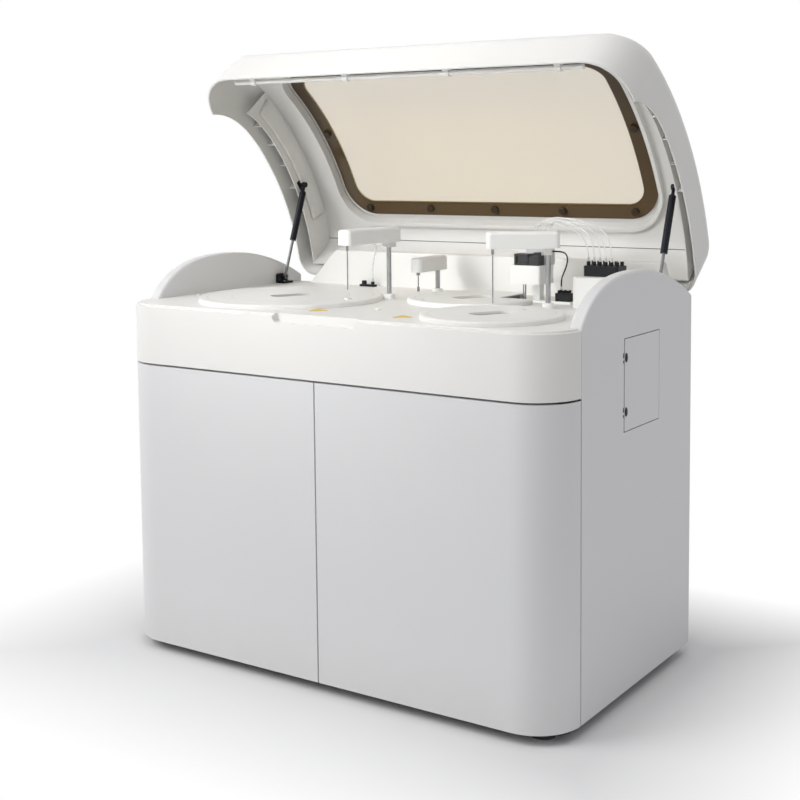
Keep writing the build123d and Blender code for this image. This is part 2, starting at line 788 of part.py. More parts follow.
def make_lid_liner():
    x = half_width - liner_inset
    low = lid_edge_z - 60
    outer = slab_x(roof_face(liner_offset, low), -x, x)
    inner = slab_x(roof_face(liner_offset + liner_wall, low - 20), -x + liner_wall, x - liner_wall)
    liner = outer - inner
    liner -= block(-half_width, half_width, -1, liner_front_y, low - 30, lid_edge_z + 400)
    front = block(-half_width, half_width, -1, liner_side_y, low - 30, lid_edge_z + 400)
    liner -= front & slab_x(roof_face(liner_offset + liner_wall, low - 30), -half_width, half_width)
    liner -= under_lid(liner_edge_rise, -half_width, half_width)
    liner -= window_prism(pane_overlap + 10, lid_edge_z, lid_edge_z + 400)
    rim = roof_band(lid_wall + 4, liner_offset + liner_rim_height)
    rim &= window_prism(pane_overlap + 10 + liner_rim, lid_edge_z, lid_edge_z + 400)
    rim -= window_prism(pane_overlap + 10, lid_edge_z - 1, lid_edge_z + 401)
    return liner + rim


def roof_point(y, offset):
    """Place on the roof's section at y, moved in by offset, and the roof's slope there."""
    tilt = math.asin((y - roof_centre_y) / roof_radius)
    radius = roof_radius - offset
    return (roof_centre_y + radius * math.sin(tilt), roof_centre_z + radius * math.cos(tilt),
            math.degrees(tilt))


def knob_places():
    side = window_half + pane_overlap / 2
    front = window_front_y - pane_overlap / 2
    back = window_back_y + pane_overlap / 2
    places = [(-side, arch_peak_y), (side, arch_peak_y)]
    for i in range(5):
        places.append(((i - 2) * 211.0, back))
    for i in range(3):
        places.append(((i - 1) * 300.0, front))
    return places


def make_window_knobs():
    knobs = []
    offset = lid_wall + fit_gap + pane_thickness + knob_seat_gap
    for x, y in knob_places():
        at_y, at_z, tilt = roof_point(y, offset)
        knob = Pos(0, 0, -knob_height / 2) * Cylinder(knob_radius, knob_height)
        knob = fillet(knob.edges().group_by(Axis.Z)[0], 3)
        knobs.append(Pos(x, at_y, at_z) * Rot(-tilt, 0, 0) * knob)
    return group(*knobs)


def make_tube_rail():
    return bar_x(-tube_rail_half, tube_rail_half, tube_rail_y, tube_rail_z, tube_rail_radius)


def make_rail_clips():
    clips = []
    for i in range(4):
        x = (i - 1.5) * rail_clip_spacing
        ring = bar_x(x - 8, x + 8, tube_rail_y, tube_rail_z, tube_rail_radius + 3)
        ring += block(x - 8, x + 8, lid_wall, tube_rail_y, tube_rail_z - 5, tube_rail_z + 5)
        ring -= bar_x(x - 9, x + 9, tube_rail_y, tube_rail_z, tube_rail_radius + shaft_clearance)
        clips.append(ring)
    return group(*clips)


def make_hinge_blocks():
    """Fixed clevises on the rear sheet, one per hinge, with their pins."""
    blocks = []
    back = rear_sheet_y + sheet
    inner = hinge_tongue / 2 + fit_gap
    for i in range(3):
        x = (i - 1) * hinge_spacing
        wide = inner + hinge_ear
        piece = block(x - wide, x + wide, back, back + 4, hinge_z - 45, hinge_z)
        for x0 in (x - wide, x + inner):
            piece += block(x0, x0 + hinge_ear, back, hinge_y, hinge_z - 40, hinge_z)
            piece += bar_x(x0, x0 + hinge_ear, hinge_y, hinge_z, hinge_ear_radius)
        piece += bar_x(x - wide - 2, x + wide + 2, hinge_y, hinge_z, hinge_pin_radius)
        blocks.append(piece)
    return group(*blocks)


def make_hinge_arms():
    """Leaves on the inside of the lid's rear wall, shown with the lid closed."""
    arms = []
    y1 = lid_back_y - lid_wall
    half = hinge_tongue / 2
    for i in range(3):
        x = (i - 1) * hinge_spacing
        leaf = block(x - half, x + half, y1 - hinge_leaf_thickness, y1, hinge_z, hinge_leaf_top_z)
        leaf += block(x - half, x + half, y1 - hinge_leaf_thickness, hinge_y, hinge_z, lid_rear_edge_z - 6)
        leaf += bar_x(x - half, x + half, hinge_y, hinge_z, hinge_barrel_radius)
        leaf -= bar_x(x - half - 1, x + half + 1, hinge_y, hinge_z, hinge_pin_radius + shaft_clearance)
        arms.append(leaf)
    return group(*arms)


# ---------------------------------------------------------------- gas springs (right side)
def strut_length():
    return math.hypot(strut_top_y - strut_foot_y, strut_top_z - strut_foot_z)


def along_strut(shape):
    """Places a shape made along +Z from the foot pivot on the strut's line."""
    lean = math.degrees(math.atan2(strut_top_y - strut_foot_y, strut_top_z - strut_foot_z))
    return Pos(strut_x, strut_foot_y, strut_foot_z) * Rot(-lean, 0, 0) * shape


def strut_eye(z):
    half = strut_eye_length / 2
    return bar_x(-half, half, 0, z, strut_eye_radius)


def make_strut_rod():
    tube_z = strut_length() - strut_eye_radius - 12 - strut_tube_length
    rod = strut_eye(0) + post(0, 0, strut_eye_radius - 2, tube_z + 30, strut_rod_radius)
    rod -= bar_x(-20, 20, 0, 0, strut_pin_radius + shaft_clearance)
    return along_strut(rod)


def make_strut_cylinder():
    z1 = strut_length()
    tube_top = z1 - strut_eye_radius - 12
    z0 = tube_top - strut_tube_length
    tube = post(0, 0, z0, tube_top, strut_tube_radius)
    tube = chamfer(tube.edges().group_by(Axis.Z)[-1], 3)
    tube += post(0, 0, tube_top - 5, z1 - strut_eye_radius + 2, strut_rod_radius)
    tube += strut_eye(z1)
    tube -= post(0, 0, z0 - 1, tube_top - 8, strut_rod_radius + shaft_clearance)
    return along_strut(tube)


def make_strut_foot():
    half = strut_eye_length / 2 + fit_gap
    x0 = strut_x + half
    x1 = panel_inner - fit_gap
    foot = block(x0, x1, strut_foot_y - 22, strut_foot_y + 18, deck_z, strut_foot_z + 8)
    foot = fillet(foot.edges().filter_by(Axis.X).group_by(Axis.Z)[-1], 6)
    foot += block(strut_x - 14, x1, strut_foot_y - 22, strut_foot_y + 18, deck_z, deck_z + 6)
    foot += bar_x(strut_x - half, x1, strut_foot_y, strut_foot_z, strut_pin_radius)
    return foot


def make_strut_stud():
    """Ball stud plate on the liner's side wall, beside the cylinder's top eye."""
    x0 = strut_x + strut_eye_length / 2 + fit_gap
    x1 = half_width - liner_inset - liner_wall
    stud = bar_x(x0, x1, strut_top_y, strut_top_z, 6)
    lean = Pos(0, strut_top_y, strut_top_z) * Rot(-lid_open_angle, 0, 0)
    stud += lean * block(x1 - 2, x1, -16, 16, -12, 12)
    return stud


# ---------------------------------------------------------------- carousels
def make_pot(x, y, radius):
    inner = radius - cover_ledge
    pot = post(x, y, plate_top, deck_under, inner + pot_wall)
    pot -= post(x, y, pot_floor_top, deck_under + 1, inner)
    pot -= post(x, y, plate_top - 1, pot_floor_top + 1, axle_radius + 1)
    return pot


def make_motor(x, y, axle_top):
    motor = post(x, y, plate_z - motor_height, plate_z, motor_radius)
    motor = fillet(motor.edges().group_by(Axis.Z)[0], 4)
    return motor + post(x, y, plate_z - 1, axle_top, axle_radius)


def turntable_z():
    return pot_floor_top + turntable_lift


def make_turntable(x, y, radius, hub_top):
    z0 = turntable_z()
    table = post(x, y, z0, z0 + turntable_thickness, radius)
    table += post(x, y, pot_floor_top + 3, hub_top, hub_radius)
    table -= post(x, y, pot_floor_top, hub_top - 5, axle_radius + shaft_clearance)
    return table


def axle_top(hub_top):
    return hub_top - 6


def reagent_hub_top():
    return turntable_z() + 60


def sample_hub_top():
    return turntable_z() + rack_height + 10


def reaction_hub_top():
    return turntable_z() + 70


def make_bottle(x, y, width, angle):
    z0 = turntable_z() + turntable_thickness
    outer = Pos(0, 0, bottle_height / 2) * Box(bottle_depth, width, bottle_height)
    outer = fillet(outer.edges().filter_by(Axis.Z), 5)
    inner = Pos(0, 0, bottle_height / 2) * Box(bottle_depth - 2 * bottle_wall, width - 2 * bottle_wall,
                                              bottle_height - 2 * bottle_wall)
    mouth = Pos(0, 0, bottle_height) * Cylinder(bottle_neck, 20)
    return Pos(x, y, z0) * Rot(0, 0, angle) * (outer - inner - mouth)


def make_bottles():
    start = math.degrees(math.atan2(probe_place("reagent")[1] - reagent_y,
                                    probe_place("reagent")[0] - reagent_x))
    bottles = []
    for i in range(bottle_count):
        angle = start + i * 360 / bottle_count
        x, y = polar(reagent_x, reagent_y, bottle_ring_radius, angle)
        bottles.append(make_bottle(x, y, bottle_width, angle))
    for i in range(inner_bottle_count):
        angle = start + i * 360 / inner_bottle_count
        x, y = polar(reagent_x, reagent_y, inner_bottle_ring_radius, angle)
        bottles.append(make_bottle(x, y, bottle_width, angle))
    return group(*bottles)


def tube_places():
    probe = swung("sample", sample_swing_out)
    start = math.degrees(math.atan2(probe[1] - sample_y, probe[0] - sample_x))
    places = []
    for radius, shift in ((tube_ring_radius, 0.0), (outer_tube_ring_radius, 0.5)):
        for i in range(tube_count):
            places.append(polar(sample_x, sample_y, radius, start + (i + shift) * 360 / tube_count))
    return places


def make_sample_rack():
    radius = sample_radius - cover_ledge - turntable_gap
    table = make_turntable(sample_x, sample_y, radius, sample_hub_top())
    z1 = turntable_z() + rack_height
    table += post(sample_x, sample_y, z1 - 4, z1, radius)
    table -= post(sample_x, sample_y, z1 - 5, z1 + 1, axle_radius + shaft_clearance)
    for x, y in tube_places():
        table -= post(x, y, z1 - 5, z1 + 1, tube_radius + fit_gap)
    return table


def make_sample_tubes():
    z0 = turntable_z() + turntable_thickness
    tubes = []
    for x, y in tube_places():
        tube = post(x, y, z0, z0 + tube_height, tube_radius)
        tubes.append(tube - post(x, y, z0 + 3, z0 + tube_height + 1, tube_radius - tube_wall))
    return group(*tubes)


def cuvette_angles():
    probe = swung("sample", -sample_swing_back)
    start = math.degrees(math.atan2(probe[1] - reaction_y, probe[0] - reaction_x))
    return [start + i * 360 / cuvette_count for i in range(cuvette_count)]


def make_reaction_table():
    radius = cuvette_ring_radius + cuvette_ring_half
    return make_turntable(reaction_x, reaction_y, radius, reaction_hub_top())


def cuvette_floor():
    return turntable_z() + turntable_thickness + 52


def make_cuvette_ring():
    z0 = turntable_z() + turntable_thickness
    z1 = cuvette_floor() + cuvette_height
    outer = cuvette_ring_radius + cuvette_ring_half
    inner = cuvette_ring_radius - cuvette_ring_half
    ring = post(reaction_x, reaction_y, z0, z1, outer)
    ring -= post(reaction_x, reaction_y, z0 - 1, z1 + 1, inner)
    ring -= post(reaction_x, reaction_y, z0 - 1, cuvette_floor() - 8, outer - 3)
    for angle in cuvette_angles():
        x, y = polar(reaction_x, reaction_y, cuvette_ring_radius, angle)
        cell = Pos(x, y, z1) * Rot(0, 0, angle) * Box(cuvette_depth, cuvette_width, 2 * cuvette_height - 4)
        ring -= cell
    return ring


def make_cover(x, y, radius, aim):
    z0 = deck_z + fit_gap
    cover = post(x, y, z0, cover_top, radius)
    cover = fillet(cover.edges().group_by(Axis.Z)[-1], 5)
    cover -= post(x, y, z0 - 1, cover_top - cover_wall, radius - 5)
    cover += post(x, y, deck_z - 6, cover_top - 1, radius - cover_ledge - 0.6)
    cover -= post(x, y, deck_z - 7, cover_top - cover_wall, radius - cover_ledge - 3.6)
    turn = Pos(x, y, cover_top) * Rot(0, 0, aim)
    cup = Box(cover_grip_length, cover_grip_width, 2 * cover_grip_depth)
    cup = fillet(cup.edges().filter_by(Axis.Z), 20)
    hollow = Pos(0, 0, 3) * Box(cover_grip_length - 5, cover_grip_width - 5, 2 * cover_grip_depth)
    hollow = fillet(hollow.edges().filter_by(Axis.Z), 17.5)
    lower = Box(2 * radius, 2 * radius, 2 * cover_grip_depth)
    lower = Pos(0, 0, cover_grip_depth) * lower
    cover += turn * (cup - lower)
    cover -= turn * hollow
    return cover


def with_probe_hole(cover, x, y, boss):
    if boss:
        cover += post(x, y, cover_top - 1, cover_top + cover_hole_rise, cover_hole_boss)
    return cover - post(x, y, deck_z - 8, cover_top + 20, cover_hole_radius)


def make_reagent_cover():
    cover = make_cover(reagent_x, reagent_y, reagent_radius, 60)
    return with_probe_hole(cover, *probe_place("reagent"), True)


def make_sample_cover():
    cover = make_cover(sample_x, sample_y, sample_radius, 60)
    return with_probe_hole(cover, *swung("sample", sample_swing_out), False)


def make_reaction_cover():
    cover = make_cover(reaction_x, reaction_y, reaction_radius, 60)
    far = reaction_radius + 5
    cover -= block(wash_x0 - cover_notch_gap, reaction_x + far, wash_y0 - cover_notch_gap,
                   reaction_y + far, deck_z - 30, cover_top + 5)
    cover = with_probe_hole(cover, *swung("sample", -sample_swing_back), False)
    cover = with_probe_hole(cover, *swung("reagent", reagent_swing), False)
    return with_probe_hole(cover, *swung("mixer", mixer_swing), False)


# ---------------------------------------------------------------- pipetting arms
ARMS = {
    "reagent": (reagent_arm_x, reagent_arm_y, reagent_arm_aim, reagent_arm_reach, reagent_head_z,
                reagent_head_height, reagent_head_width, reagent_tip_z),
    "sample": (sample_arm_x, sample_arm_y, sample_arm_aim, sample_arm_reach, sample_head_z,
               sample_head_height, sample_head_width, sample_tip_z),
    "mixer": (mixer_arm_x, mixer_arm_y, mixer_arm_aim, mixer_arm_reach, mixer_head_z,
              mixer_head_height, mixer_head_width, mixer_tip_z),
}


COLLARS = {"reagent": (reagent_collar, reagent_collar_height),
           "sample": (sample_collar, sample_collar_height)}


def swung(name, degrees):
    """Where an arm's probe stands once the arm has turned by degrees."""
    x, y, aim, reach = ARMS[name][:4]
    return polar(x, y, reach, aim + degrees)


def probe_place(name):
    return swung(name, 0.0)


def column_places():
    return [(arm[0], arm[1]) for arm in ARMS.values()]


def well_places():
    return [probe_place("sample"), probe_place("mixer")]


def make_column(name):
    x, y, aim, reach, head_z = ARMS[name][:5]
    column = post(x, y, deck_z - column_depth, head_z + head_socket - 2, column_radius)
    if name in COLLARS:
        side, height = COLLARS[name]
        collar = Box(side, side, height)
        collar = fillet(collar.edges().filter_by(Axis.Z), 3)
        column += Pos(x, y, head_z - fit_gap - height / 2) * Rot(0, 0, aim) * collar
    return column


def make_head(name):
    x, y, aim, reach, z0, height, width, tip = ARMS[name]
    length = reach + head_nose + head_tail
    head = Box(length, width, height)
    head = fillet(head.edges().filter_by(Axis.Z), head_fillet + 2)
    head = fillet(head.edges().group_by(Axis.Z)[-1], head_fillet)
    head = Pos((length / 2 - head_tail), 0, height / 2) * head
    head -= post(0, 0, -1, head_socket, column_radius + shaft_clearance)
    return Pos(x, y, z0) * Rot(0, 0, aim) * head


def make_probe(name):
    z0 = ARMS[name][4]
    tip = ARMS[name][7]
    x, y = probe_place(name)
    probe = post(x, y, tip + 3, z0, probe_radius)
    probe += Pos(x, y, tip + 1.5) * Cone(0.5, probe_radius, 3)
    probe += post(x, y, z0 - probe_collar_height, z0, probe_collar_radius)
    return probe


def make_paddle():
    z0 = mixer_head_z
    x, y = probe_place("mixer")
    paddle = post(x, y, mixer_tip_z + 8, z0, probe_radius)
    paddle += block(x - 3.5, x + 3.5, y - 1, y + 1, mixer_tip_z, mixer_tip_z + 12)
    paddle += post(x, y, z0 - 8, z0, 5)
    return paddle


def make_guides():
    guides = []
    for x, y in column_places():
        guide = post(x, y, deck_z, deck_z + guide_height, guide_radius)
        guide = fillet(guide.edges().group_by(Axis.Z)[-1], 4)
        guides.append(guide - post(x, y, deck_z - 1, deck_z + guide_height + 1,
                                   column_radius + shaft_clearance))
    return group(*guides)


def make_drives():
    """Lift-and-turn drives under the deck, each bored for its column."""
    drives = []
    half = drive_size / 2
    for x, y in column_places():
        drive = block(x - half, x + half, y - half, y + half, plate_top, deck_under)
        drives.append(drive - post(x, y, plate_top + 4, deck_under + 1, column_radius + 1.5))
    return group(*drives)


def make_wells():
    wells = []
    for x, y in well_places():
        z1 = deck_z + 4
        well = post(x, y, z1 - well_depth, z1, well_radius)
        well += post(x, y, deck_z, z1, well_radius + well_flange)
        wells.append(well - post(x, y, z1 - well_depth + 3, z1 + 1, well_radius - well_wall))
    return group(*wells)


# ---------------------------------------------------------------- wash station and tower
def make_wash_base():
    x0 = wash_post_x - 9
    base = block(x0, wash_base_x1, wash_post_y - 20, wash_y1 + 14, deck_z,
                 deck_z + wash_base_thickness)
    base = fillet(base.edges().filter_by(Axis.Z), 5)
    return base


def make_wash_post():
    half = wash_post_width / 2
    return block(wash_post_x - 8, wash_post_x + half, wash_post_y - half, wash_post_y + half,
                 deck_z + wash_base_thickness, wash_post_top)


def make_wash_head():
    z0, z1 = wash_z, wash_z + wash_height
    head = block(wash_x0, wash_x1, wash_y0, wash_y1, z0, z1)
    head = fillet(head.edges().filter_by(Axis.Z), 5)
    half = wash_post_width / 2 + shaft_clearance
    head -= block(wash_post_x - 8 - shaft_clearance, wash_post_x + half, wash_post_y - half,
                  wash_post_y + half, z0 - 1, wash_post_top + wash_travel + 1)
    return head


def make_wash_gear():
    """Grey motor box behind, on top of the wash head."""
    z0 = wash_z + wash_height
    box = block(wash_x0 + 22, wash_x1 + 3, wash_y1 - 28, wash_y1, z0, z0 + 64)
    return fillet(box.edges().filter_by(Axis.Z), 3)


def make_wash_bracket():
    """Open black frame and a plug block on the wash head's front."""
    z0 = wash_z + wash_height
    x0 = wash_x0 + 12
    frame = block(x0, x0 + 38, wash_y0 + 6, wash_y0 + 40, z0, z0 + 28)
    frame -= block(x0 + 5, x0 + 33, wash_y0 + 5, wash_y0 + 34, z0 + 5, z0 + 23)
    plug = block(x0 + 39, x0 + 66, wash_y0 + 8, wash_y0 + 38, z0, z0 + 24)
    plug += block(x0 + 50, x0 + 62, wash_y0 + 14, wash_y0 + 32, z0 + 23, z0 + 32)
    return group(frame, plug)


def make_wash_valve():
    z0 = wash_z + wash_height
    x0 = wash_x0 + 12
    return block(x0 + 5.3, x0 + 32.7, wash_y0 + 10, wash_y0 + 34, z0 + 5.3, z0 + 22.7)


def wash_pipe_places():
    """The pipes stand over the cuvettes that pass under the wash head."""
    middle_x = (wash_x0 + wash_x1) / 2 - wash_pipe_lead
    middle_y = (wash_y0 + wash_y1) / 2
    wanted = math.degrees(math.atan2(middle_y - reaction_y, middle_x - reaction_x))
    angles = sorted(cuvette_angles(), key=lambda a: abs((a - wanted + 180) % 360 - 180))
    return [polar(reaction_x, reaction_y, cuvette_ring_radius, a) for a in angles[:wash_pipe_count]]


def make_wash_pipes():
    pipes = []
    for x, y in wash_pipe_places():
        pipes.append(post(x, y, wash_pipe_tip_z, wash_z, wash_pipe_radius))
    return group(*pipes)


def make_connectors():
    """Small plug strip on the wash station's base plate."""
    z0 = deck_z + wash_base_thickness
    x0, y0 = wash_base_x1 - 42, wash_post_y - 18
    strip = block(x0, x0 + 38, y0, y0 + 26, z0, z0 + 20)
    for i in range(3):
        for j in range(2):
            strip += post(x0 + 7 + i * 12, y0 + 7 + j * 12, z0 + 19, z0 + 27, 3.2)
    return strip


def make_tower():
    tower = block(tower_x0, tower_x1, tower_y0, tower_y1, deck_z, tower_top_z)
    tower = fillet(tower.edges().filter_by(Axis.Z), 14)
    tower = fillet(tower.edges().group_by(Axis.Z)[-1], 5)
    inner = block(tower_x0 + 3, tower_x1 - 3, tower_y0 + 3, tower_y1 - 3, deck_z - 1, tower_top_z - 4)
    inner = fillet(inner.edges().filter_by(Axis.Z), 11)
    return tower - inner


def nub_places():
    x0 = (tower_x0 + tower_x1) / 2 - manifold_length / 2
    y0 = tower_y0 + 28
    return [(x0 + 8 + i * 15, y0 + 13 + j * 26) for j in range(2) for i in range(6)]


def make_manifold():
    x0 = (tower_x0 + tower_x1) / 2 - manifold_length / 2
    y0 = tower_y0 + 28
    block_body = block(x0, x0 + manifold_length, y0, y0 + manifold_width, tower_top_z,
                       tower_top_z + manifold_height)
    block_body = chamfer(block_body.edges().filter_by(Axis.Z), 4)
    for x, y in nub_places():
        block_body += post(x, y, tower_top_z + manifold_height - 1,
                           tower_top_z + manifold_height + nub_height, nub_radius)
    return block_body


def make_deck_caps():
    caps = []
    for x, y in ((reagent_x - 288, reagent_y - 32), (sample_x - 319, sample_y + 10)):
        cap = post(x, y, deck_z, deck_z + 4, 7)
        caps.append(fillet(cap.edges().group_by(Axis.Z)[-1], 2))
    return group(*caps)


def make_tube_fitting():
    """Elbow fitting on the deck for the reagent arm's line."""
    x, y = line_fitting_x, line_fitting_y
    fitting = block(x - 40, x + 8, y - 8, y + 8, deck_z, deck_z + 6)
    fitting += post(x, y, deck_z + 5, deck_z + 14, 5)
    fitting += block(x - 34, x - 24, y - 5, y + 5, deck_z + 5, deck_z + 16)
    return fitting


# ---------------------------------------------------------------- tubes and cable
def cord(points, radius):
    """A tube of straight runs joined by tangent arcs, with each arc as large as its runs allow."""
    route = [Vector(*p) for p in points]
    radii = []
    for a, b, c in zip(route, route[1:], route[2:]):
        turn = (b - a).get_angle(c - b)
        shorter = min((b - a).length, (c - b).length)
        radii.append(0.45 * shorter / math.tan(math.radians(turn / 2)))
    path = FilletPolyline(*route, radius=radii)
    start = Plane(origin=route[0], z_dir=route[1] - route[0])
    tube = sweep(start * Circle(radius), path=path)
    share = tube.volume / (math.pi * radius ** 2 * path.length)
    print("cord", "length", round(path.length, 1), "least radius", round(min(radii), 1),
          "volume share", round(share, 4))
    return tube


def make_wash_tube(index):
    """One of the clear lines that arch from the wash station to the tower."""
    x0 = wash_x0 + 34 + 11.0 * index
    y0 = wash_y1 - 14.0
    z0 = wash_z + wash_height + 64
    end_x, end_y = nub_places()[index]
    end_z = tower_top_z + manifold_height + nub_height
    top = 1083.0 + 3.0 * ((index * 2) % 5)
    sway = 7.0 * (index - 2)
    points = [
        (x0, y0, z0),
        (x0, y0, z0 + 18),
        (x0 + 16, y0 - 6 + sway * 0.3, top - 8),
        (x0 + 42, y0 - 14 + sway * 0.6, top),
        (x0 + 78, y0 - 26 + sway * 0.8, top + 1),
        (x0 * 0.6 + end_x * 0.4 + 50, y0 - 37 + sway * 0.6, top - 9),
        (x0 * 0.25 + end_x * 0.75 + 20, y0 - 42 + sway * 0.3, top - 25),
        (end_x - 10, end_y + 9, top - 48),
        (end_x, end_y, end_z + 20),
        (end_x, end_y, end_z),
    ]
    return cord(points, tube_line_radius)


def collar_face(name, side, turn):
    """Middle of a collar's side face, turned from the arm's aim, and the way it looks."""
    x, y, aim = ARMS[name][:3]
    out = math.radians(aim + turn)
    return (x + side / 2 * math.cos(out), y + side / 2 * math.sin(out),
            math.cos(out), math.sin(out))


def make_arm_cable():
    """Black cable from the sample arm's collar down to the plug strip."""
    x, y = wash_base_x1 - 42 + 7, wash_post_y - 18 + 19
    z = deck_z + wash_base_thickness + 27
    start_x, start_y, out_x, out_y = collar_face("sample", sample_collar, 180)
    start_z = sample_head_z - 8
    points = [
        (start_x, start_y, start_z),
        (start_x + 14 * out_x, start_y + 14 * out_y, start_z),
        (start_x + 22, start_y + 26, start_z - 4),
        (start_x + 18, start_y + 47, start_z - 20),
        (start_x + 4, start_y + 66, start_z - 42),
        (start_x - 14, start_y + 84, start_z - 62),
        (x, y, z + 24),
        (x, y, z),
    ]
    return cord(points, cable_radius)


def make_reagent_line():
    """Thin line from the deck fitting up to the reagent arm's collar."""
    end_x, end_y, out_x, out_y = collar_face("reagent", reagent_collar, -90)
    end_z = reagent_head_z - fit_gap - reagent_collar_height / 2
    points = [
        (line_fitting_x, line_fitting_y, deck_z + 14),
        (line_fitting_x, line_fitting_y, deck_z + 38),
        (-268.0, 618.0, deck_z + 62),
        (-240.0, 587.0, deck_z + 88),
        (-208.0, 549.0, deck_z + 110),
        (-179.0, 507.0, deck_z + 126),
        (-151.0, 464.0, deck_z + 136),
        (-124.0, 424.0, end_z),
        (end_x + 24 * out_x, end_y + 24 * out_y, end_z),
        (end_x, end_y, end_z),
    ]
    return cord(points, tube_line_radius)


def build_cabinet(parts):
    x = half_width - rail_inset_x
    y1 = body_depth - rail_inset_y
    parts["levelling_feet"] = make_feet()
    parts["frame_rails"] = group(*rail_ring(rail_z), *rail_ring(plate_z - rail_size),
                                 make_uprights())
    floor_pan = block(-x, x, rail_inset_y, y1, rail_top, rail_top + sheet)
    parts["cabinet_plates"] = group(floor_pan, make_instrument_plate(), make_partition())
    parts["rear_sheet"] = make_rear_sheet()
    parts["tanks"] = group(*[make(place) for place in (water_x, waste_x)
                             for make in (make_tank, make_tank_cap)])
    parts["cabinet_modules"] = group(make_power_supply(), make_pumps())
    parts["fan_housing"] = make_fan_housing()
    parts["fan_rotor"] = make_fan_rotor()
    parts["power_inlet"] = group(make_power_inlet(), make_switch_housing())
    parts["power_rocker"] = make_rocker()


def build_skin(parts):
    panel = make_side_panel()
    parts["side_panel_left"] = mirrored(panel)
    parts["side_panel_right"] = cut_service_opening(panel)
    parts["service_door"] = make_service_door()
    parts["front_fascia"] = make_fascia()
    parts["deck"] = make_deck()
    door = make_door()
    parts["door_right"] = door
    parts["door_left"] = mirrored(door)
    parts["rear_wall"] = make_rear_wall()
    pivots = make_door_hinges()
    foot = make_strut_foot()
    parts["hinge_blocks"] = group(*pivots, *[mirrored(pivot) for pivot in pivots],
                                  make_service_hinges(), make_hinge_blocks(), foot,
                                  mirrored(foot))


def build_lid(parts):
    rod = make_strut_rod()
    cylinder = make_strut_cylinder()
    stud = make_strut_stud()
    parts["lid_shell"] = opened(make_lid_shell())
    parts["lid_window"] = opened(make_lid_window())
    parts["lid_liner"] = opened(make_lid_liner())
    parts["window_knobs"] = opened(make_window_knobs())
    parts["lid_fittings"] = group(opened(make_tube_rail()), opened(make_rail_clips()),
                                  opened(make_hinge_arms()), stud, mirrored(stud))
    parts["strut_rods"] = group(rod, mirrored(rod))
    parts["strut_cylinders"] = group(cylinder, mirrored(cylinder))


def build_carousels(parts):
    pots = [make_pot(*place) for place in carousel_places()]
    parts["deck_pots"] = group(*pots, make_wells())
    tops = (reagent_hub_top(), sample_hub_top(), reaction_hub_top())
    motors = [make_motor(place[0], place[1], axle_top(top))
              for place, top in zip(carousel_places(), tops)]
    parts["drive_units"] = group(*motors, make_drives())
    parts["reagent_carousel"] = make_turntable(
        reagent_x, reagent_y, reagent_radius - cover_ledge - turntable_gap, reagent_hub_top())
    parts["reagent_bottles"] = make_bottles()
    parts["sample_carousel"] = make_sample_rack()
    parts["sample_tubes"] = make_sample_tubes()
    parts["reaction_carousel"] = group(make_reaction_table(), make_cuvette_ring())
    parts["reagent_cover"] = make_reagent_cover()
    parts["sample_cover"] = make_sample_cover()
    parts["reaction_cover"] = make_reaction_cover()


def build_arms(parts):
    parts["deck_bosses"] = group(make_guides(), make_deck_caps())
    for name in ARMS:
        parts[name + "_column"] = make_column(name)
        parts[name + "_arm"] = make_head(name)
    parts["reagent_probe"] = make_probe("reagent")
    parts["sample_probe"] = make_probe("sample")
    parts["mixer_paddle"] = make_paddle()


def build_wash_station(parts):
    parts["wash_stand"] = group(make_wash_base(), make_wash_post())
    parts["wash_head"] = make_wash_head()
    parts["wash_fittings"] = group(make_wash_gear(), make_wash_bracket(), make_wash_valve())
    parts["wash_pipes"] = make_wash_pipes()
    parts["deck_connectors"] = group(make_connectors(), make_tube_fitting())
    parts["tube_tower"] = make_tower()
    parts["tube_manifold"] = make_manifold()
    for index in range(wash_tube_count):
        parts["wash_tube_" + str(index + 1)] = make_wash_tube(index)
    parts["arm_cable"] = make_arm_cable()
    parts["reagent_line"] = make_reagent_line()


def main():
    os.makedirs("parts", exist_ok=True)
    parts = {}
    for build in (build_cabinet, build_skin, build_lid, build_carousels, build_arms,
                  build_wash_station):
        build(parts)
    box = Compound(children=[solid for p in parts.values() for solid in p.solids()]).bounding_box()
    middle = box.center()
    shift = Pos(-middle.X, -middle.Y, -box.min.Z)
    print("nodes", len(parts), "box", box.size, "shift", -middle.X, -middle.Y, -box.min.Z)
    for name, shape in parts.items():
        export_step(shift * shape, "parts/" + name + ".step")


main()
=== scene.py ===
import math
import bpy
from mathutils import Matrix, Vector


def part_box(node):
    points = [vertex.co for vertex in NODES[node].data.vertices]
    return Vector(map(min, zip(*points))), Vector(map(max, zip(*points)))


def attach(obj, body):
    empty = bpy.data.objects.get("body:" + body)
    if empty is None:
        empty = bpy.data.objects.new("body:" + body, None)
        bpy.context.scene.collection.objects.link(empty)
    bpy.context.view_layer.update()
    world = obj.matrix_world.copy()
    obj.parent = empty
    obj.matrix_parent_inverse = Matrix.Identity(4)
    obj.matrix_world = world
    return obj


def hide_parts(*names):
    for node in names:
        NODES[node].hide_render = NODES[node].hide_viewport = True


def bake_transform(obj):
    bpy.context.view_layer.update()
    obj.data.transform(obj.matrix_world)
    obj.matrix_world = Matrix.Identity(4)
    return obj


bl_info = {
    "name": "Chemistry analyzer look",
    "version": (1, 0, 0),
    "blender": (4, 5, 0),
    "location": "3D View > Sidebar > Analyzer",
    "description": "Finishes, tubes, fasteners and studio of a floor-standing chemistry analyzer",
    "category": "Object",
}

import bmesh
import bpy
from bpy.props import FloatProperty, FloatVectorProperty, IntProperty, PointerProperty
from mathutils import Matrix, Vector

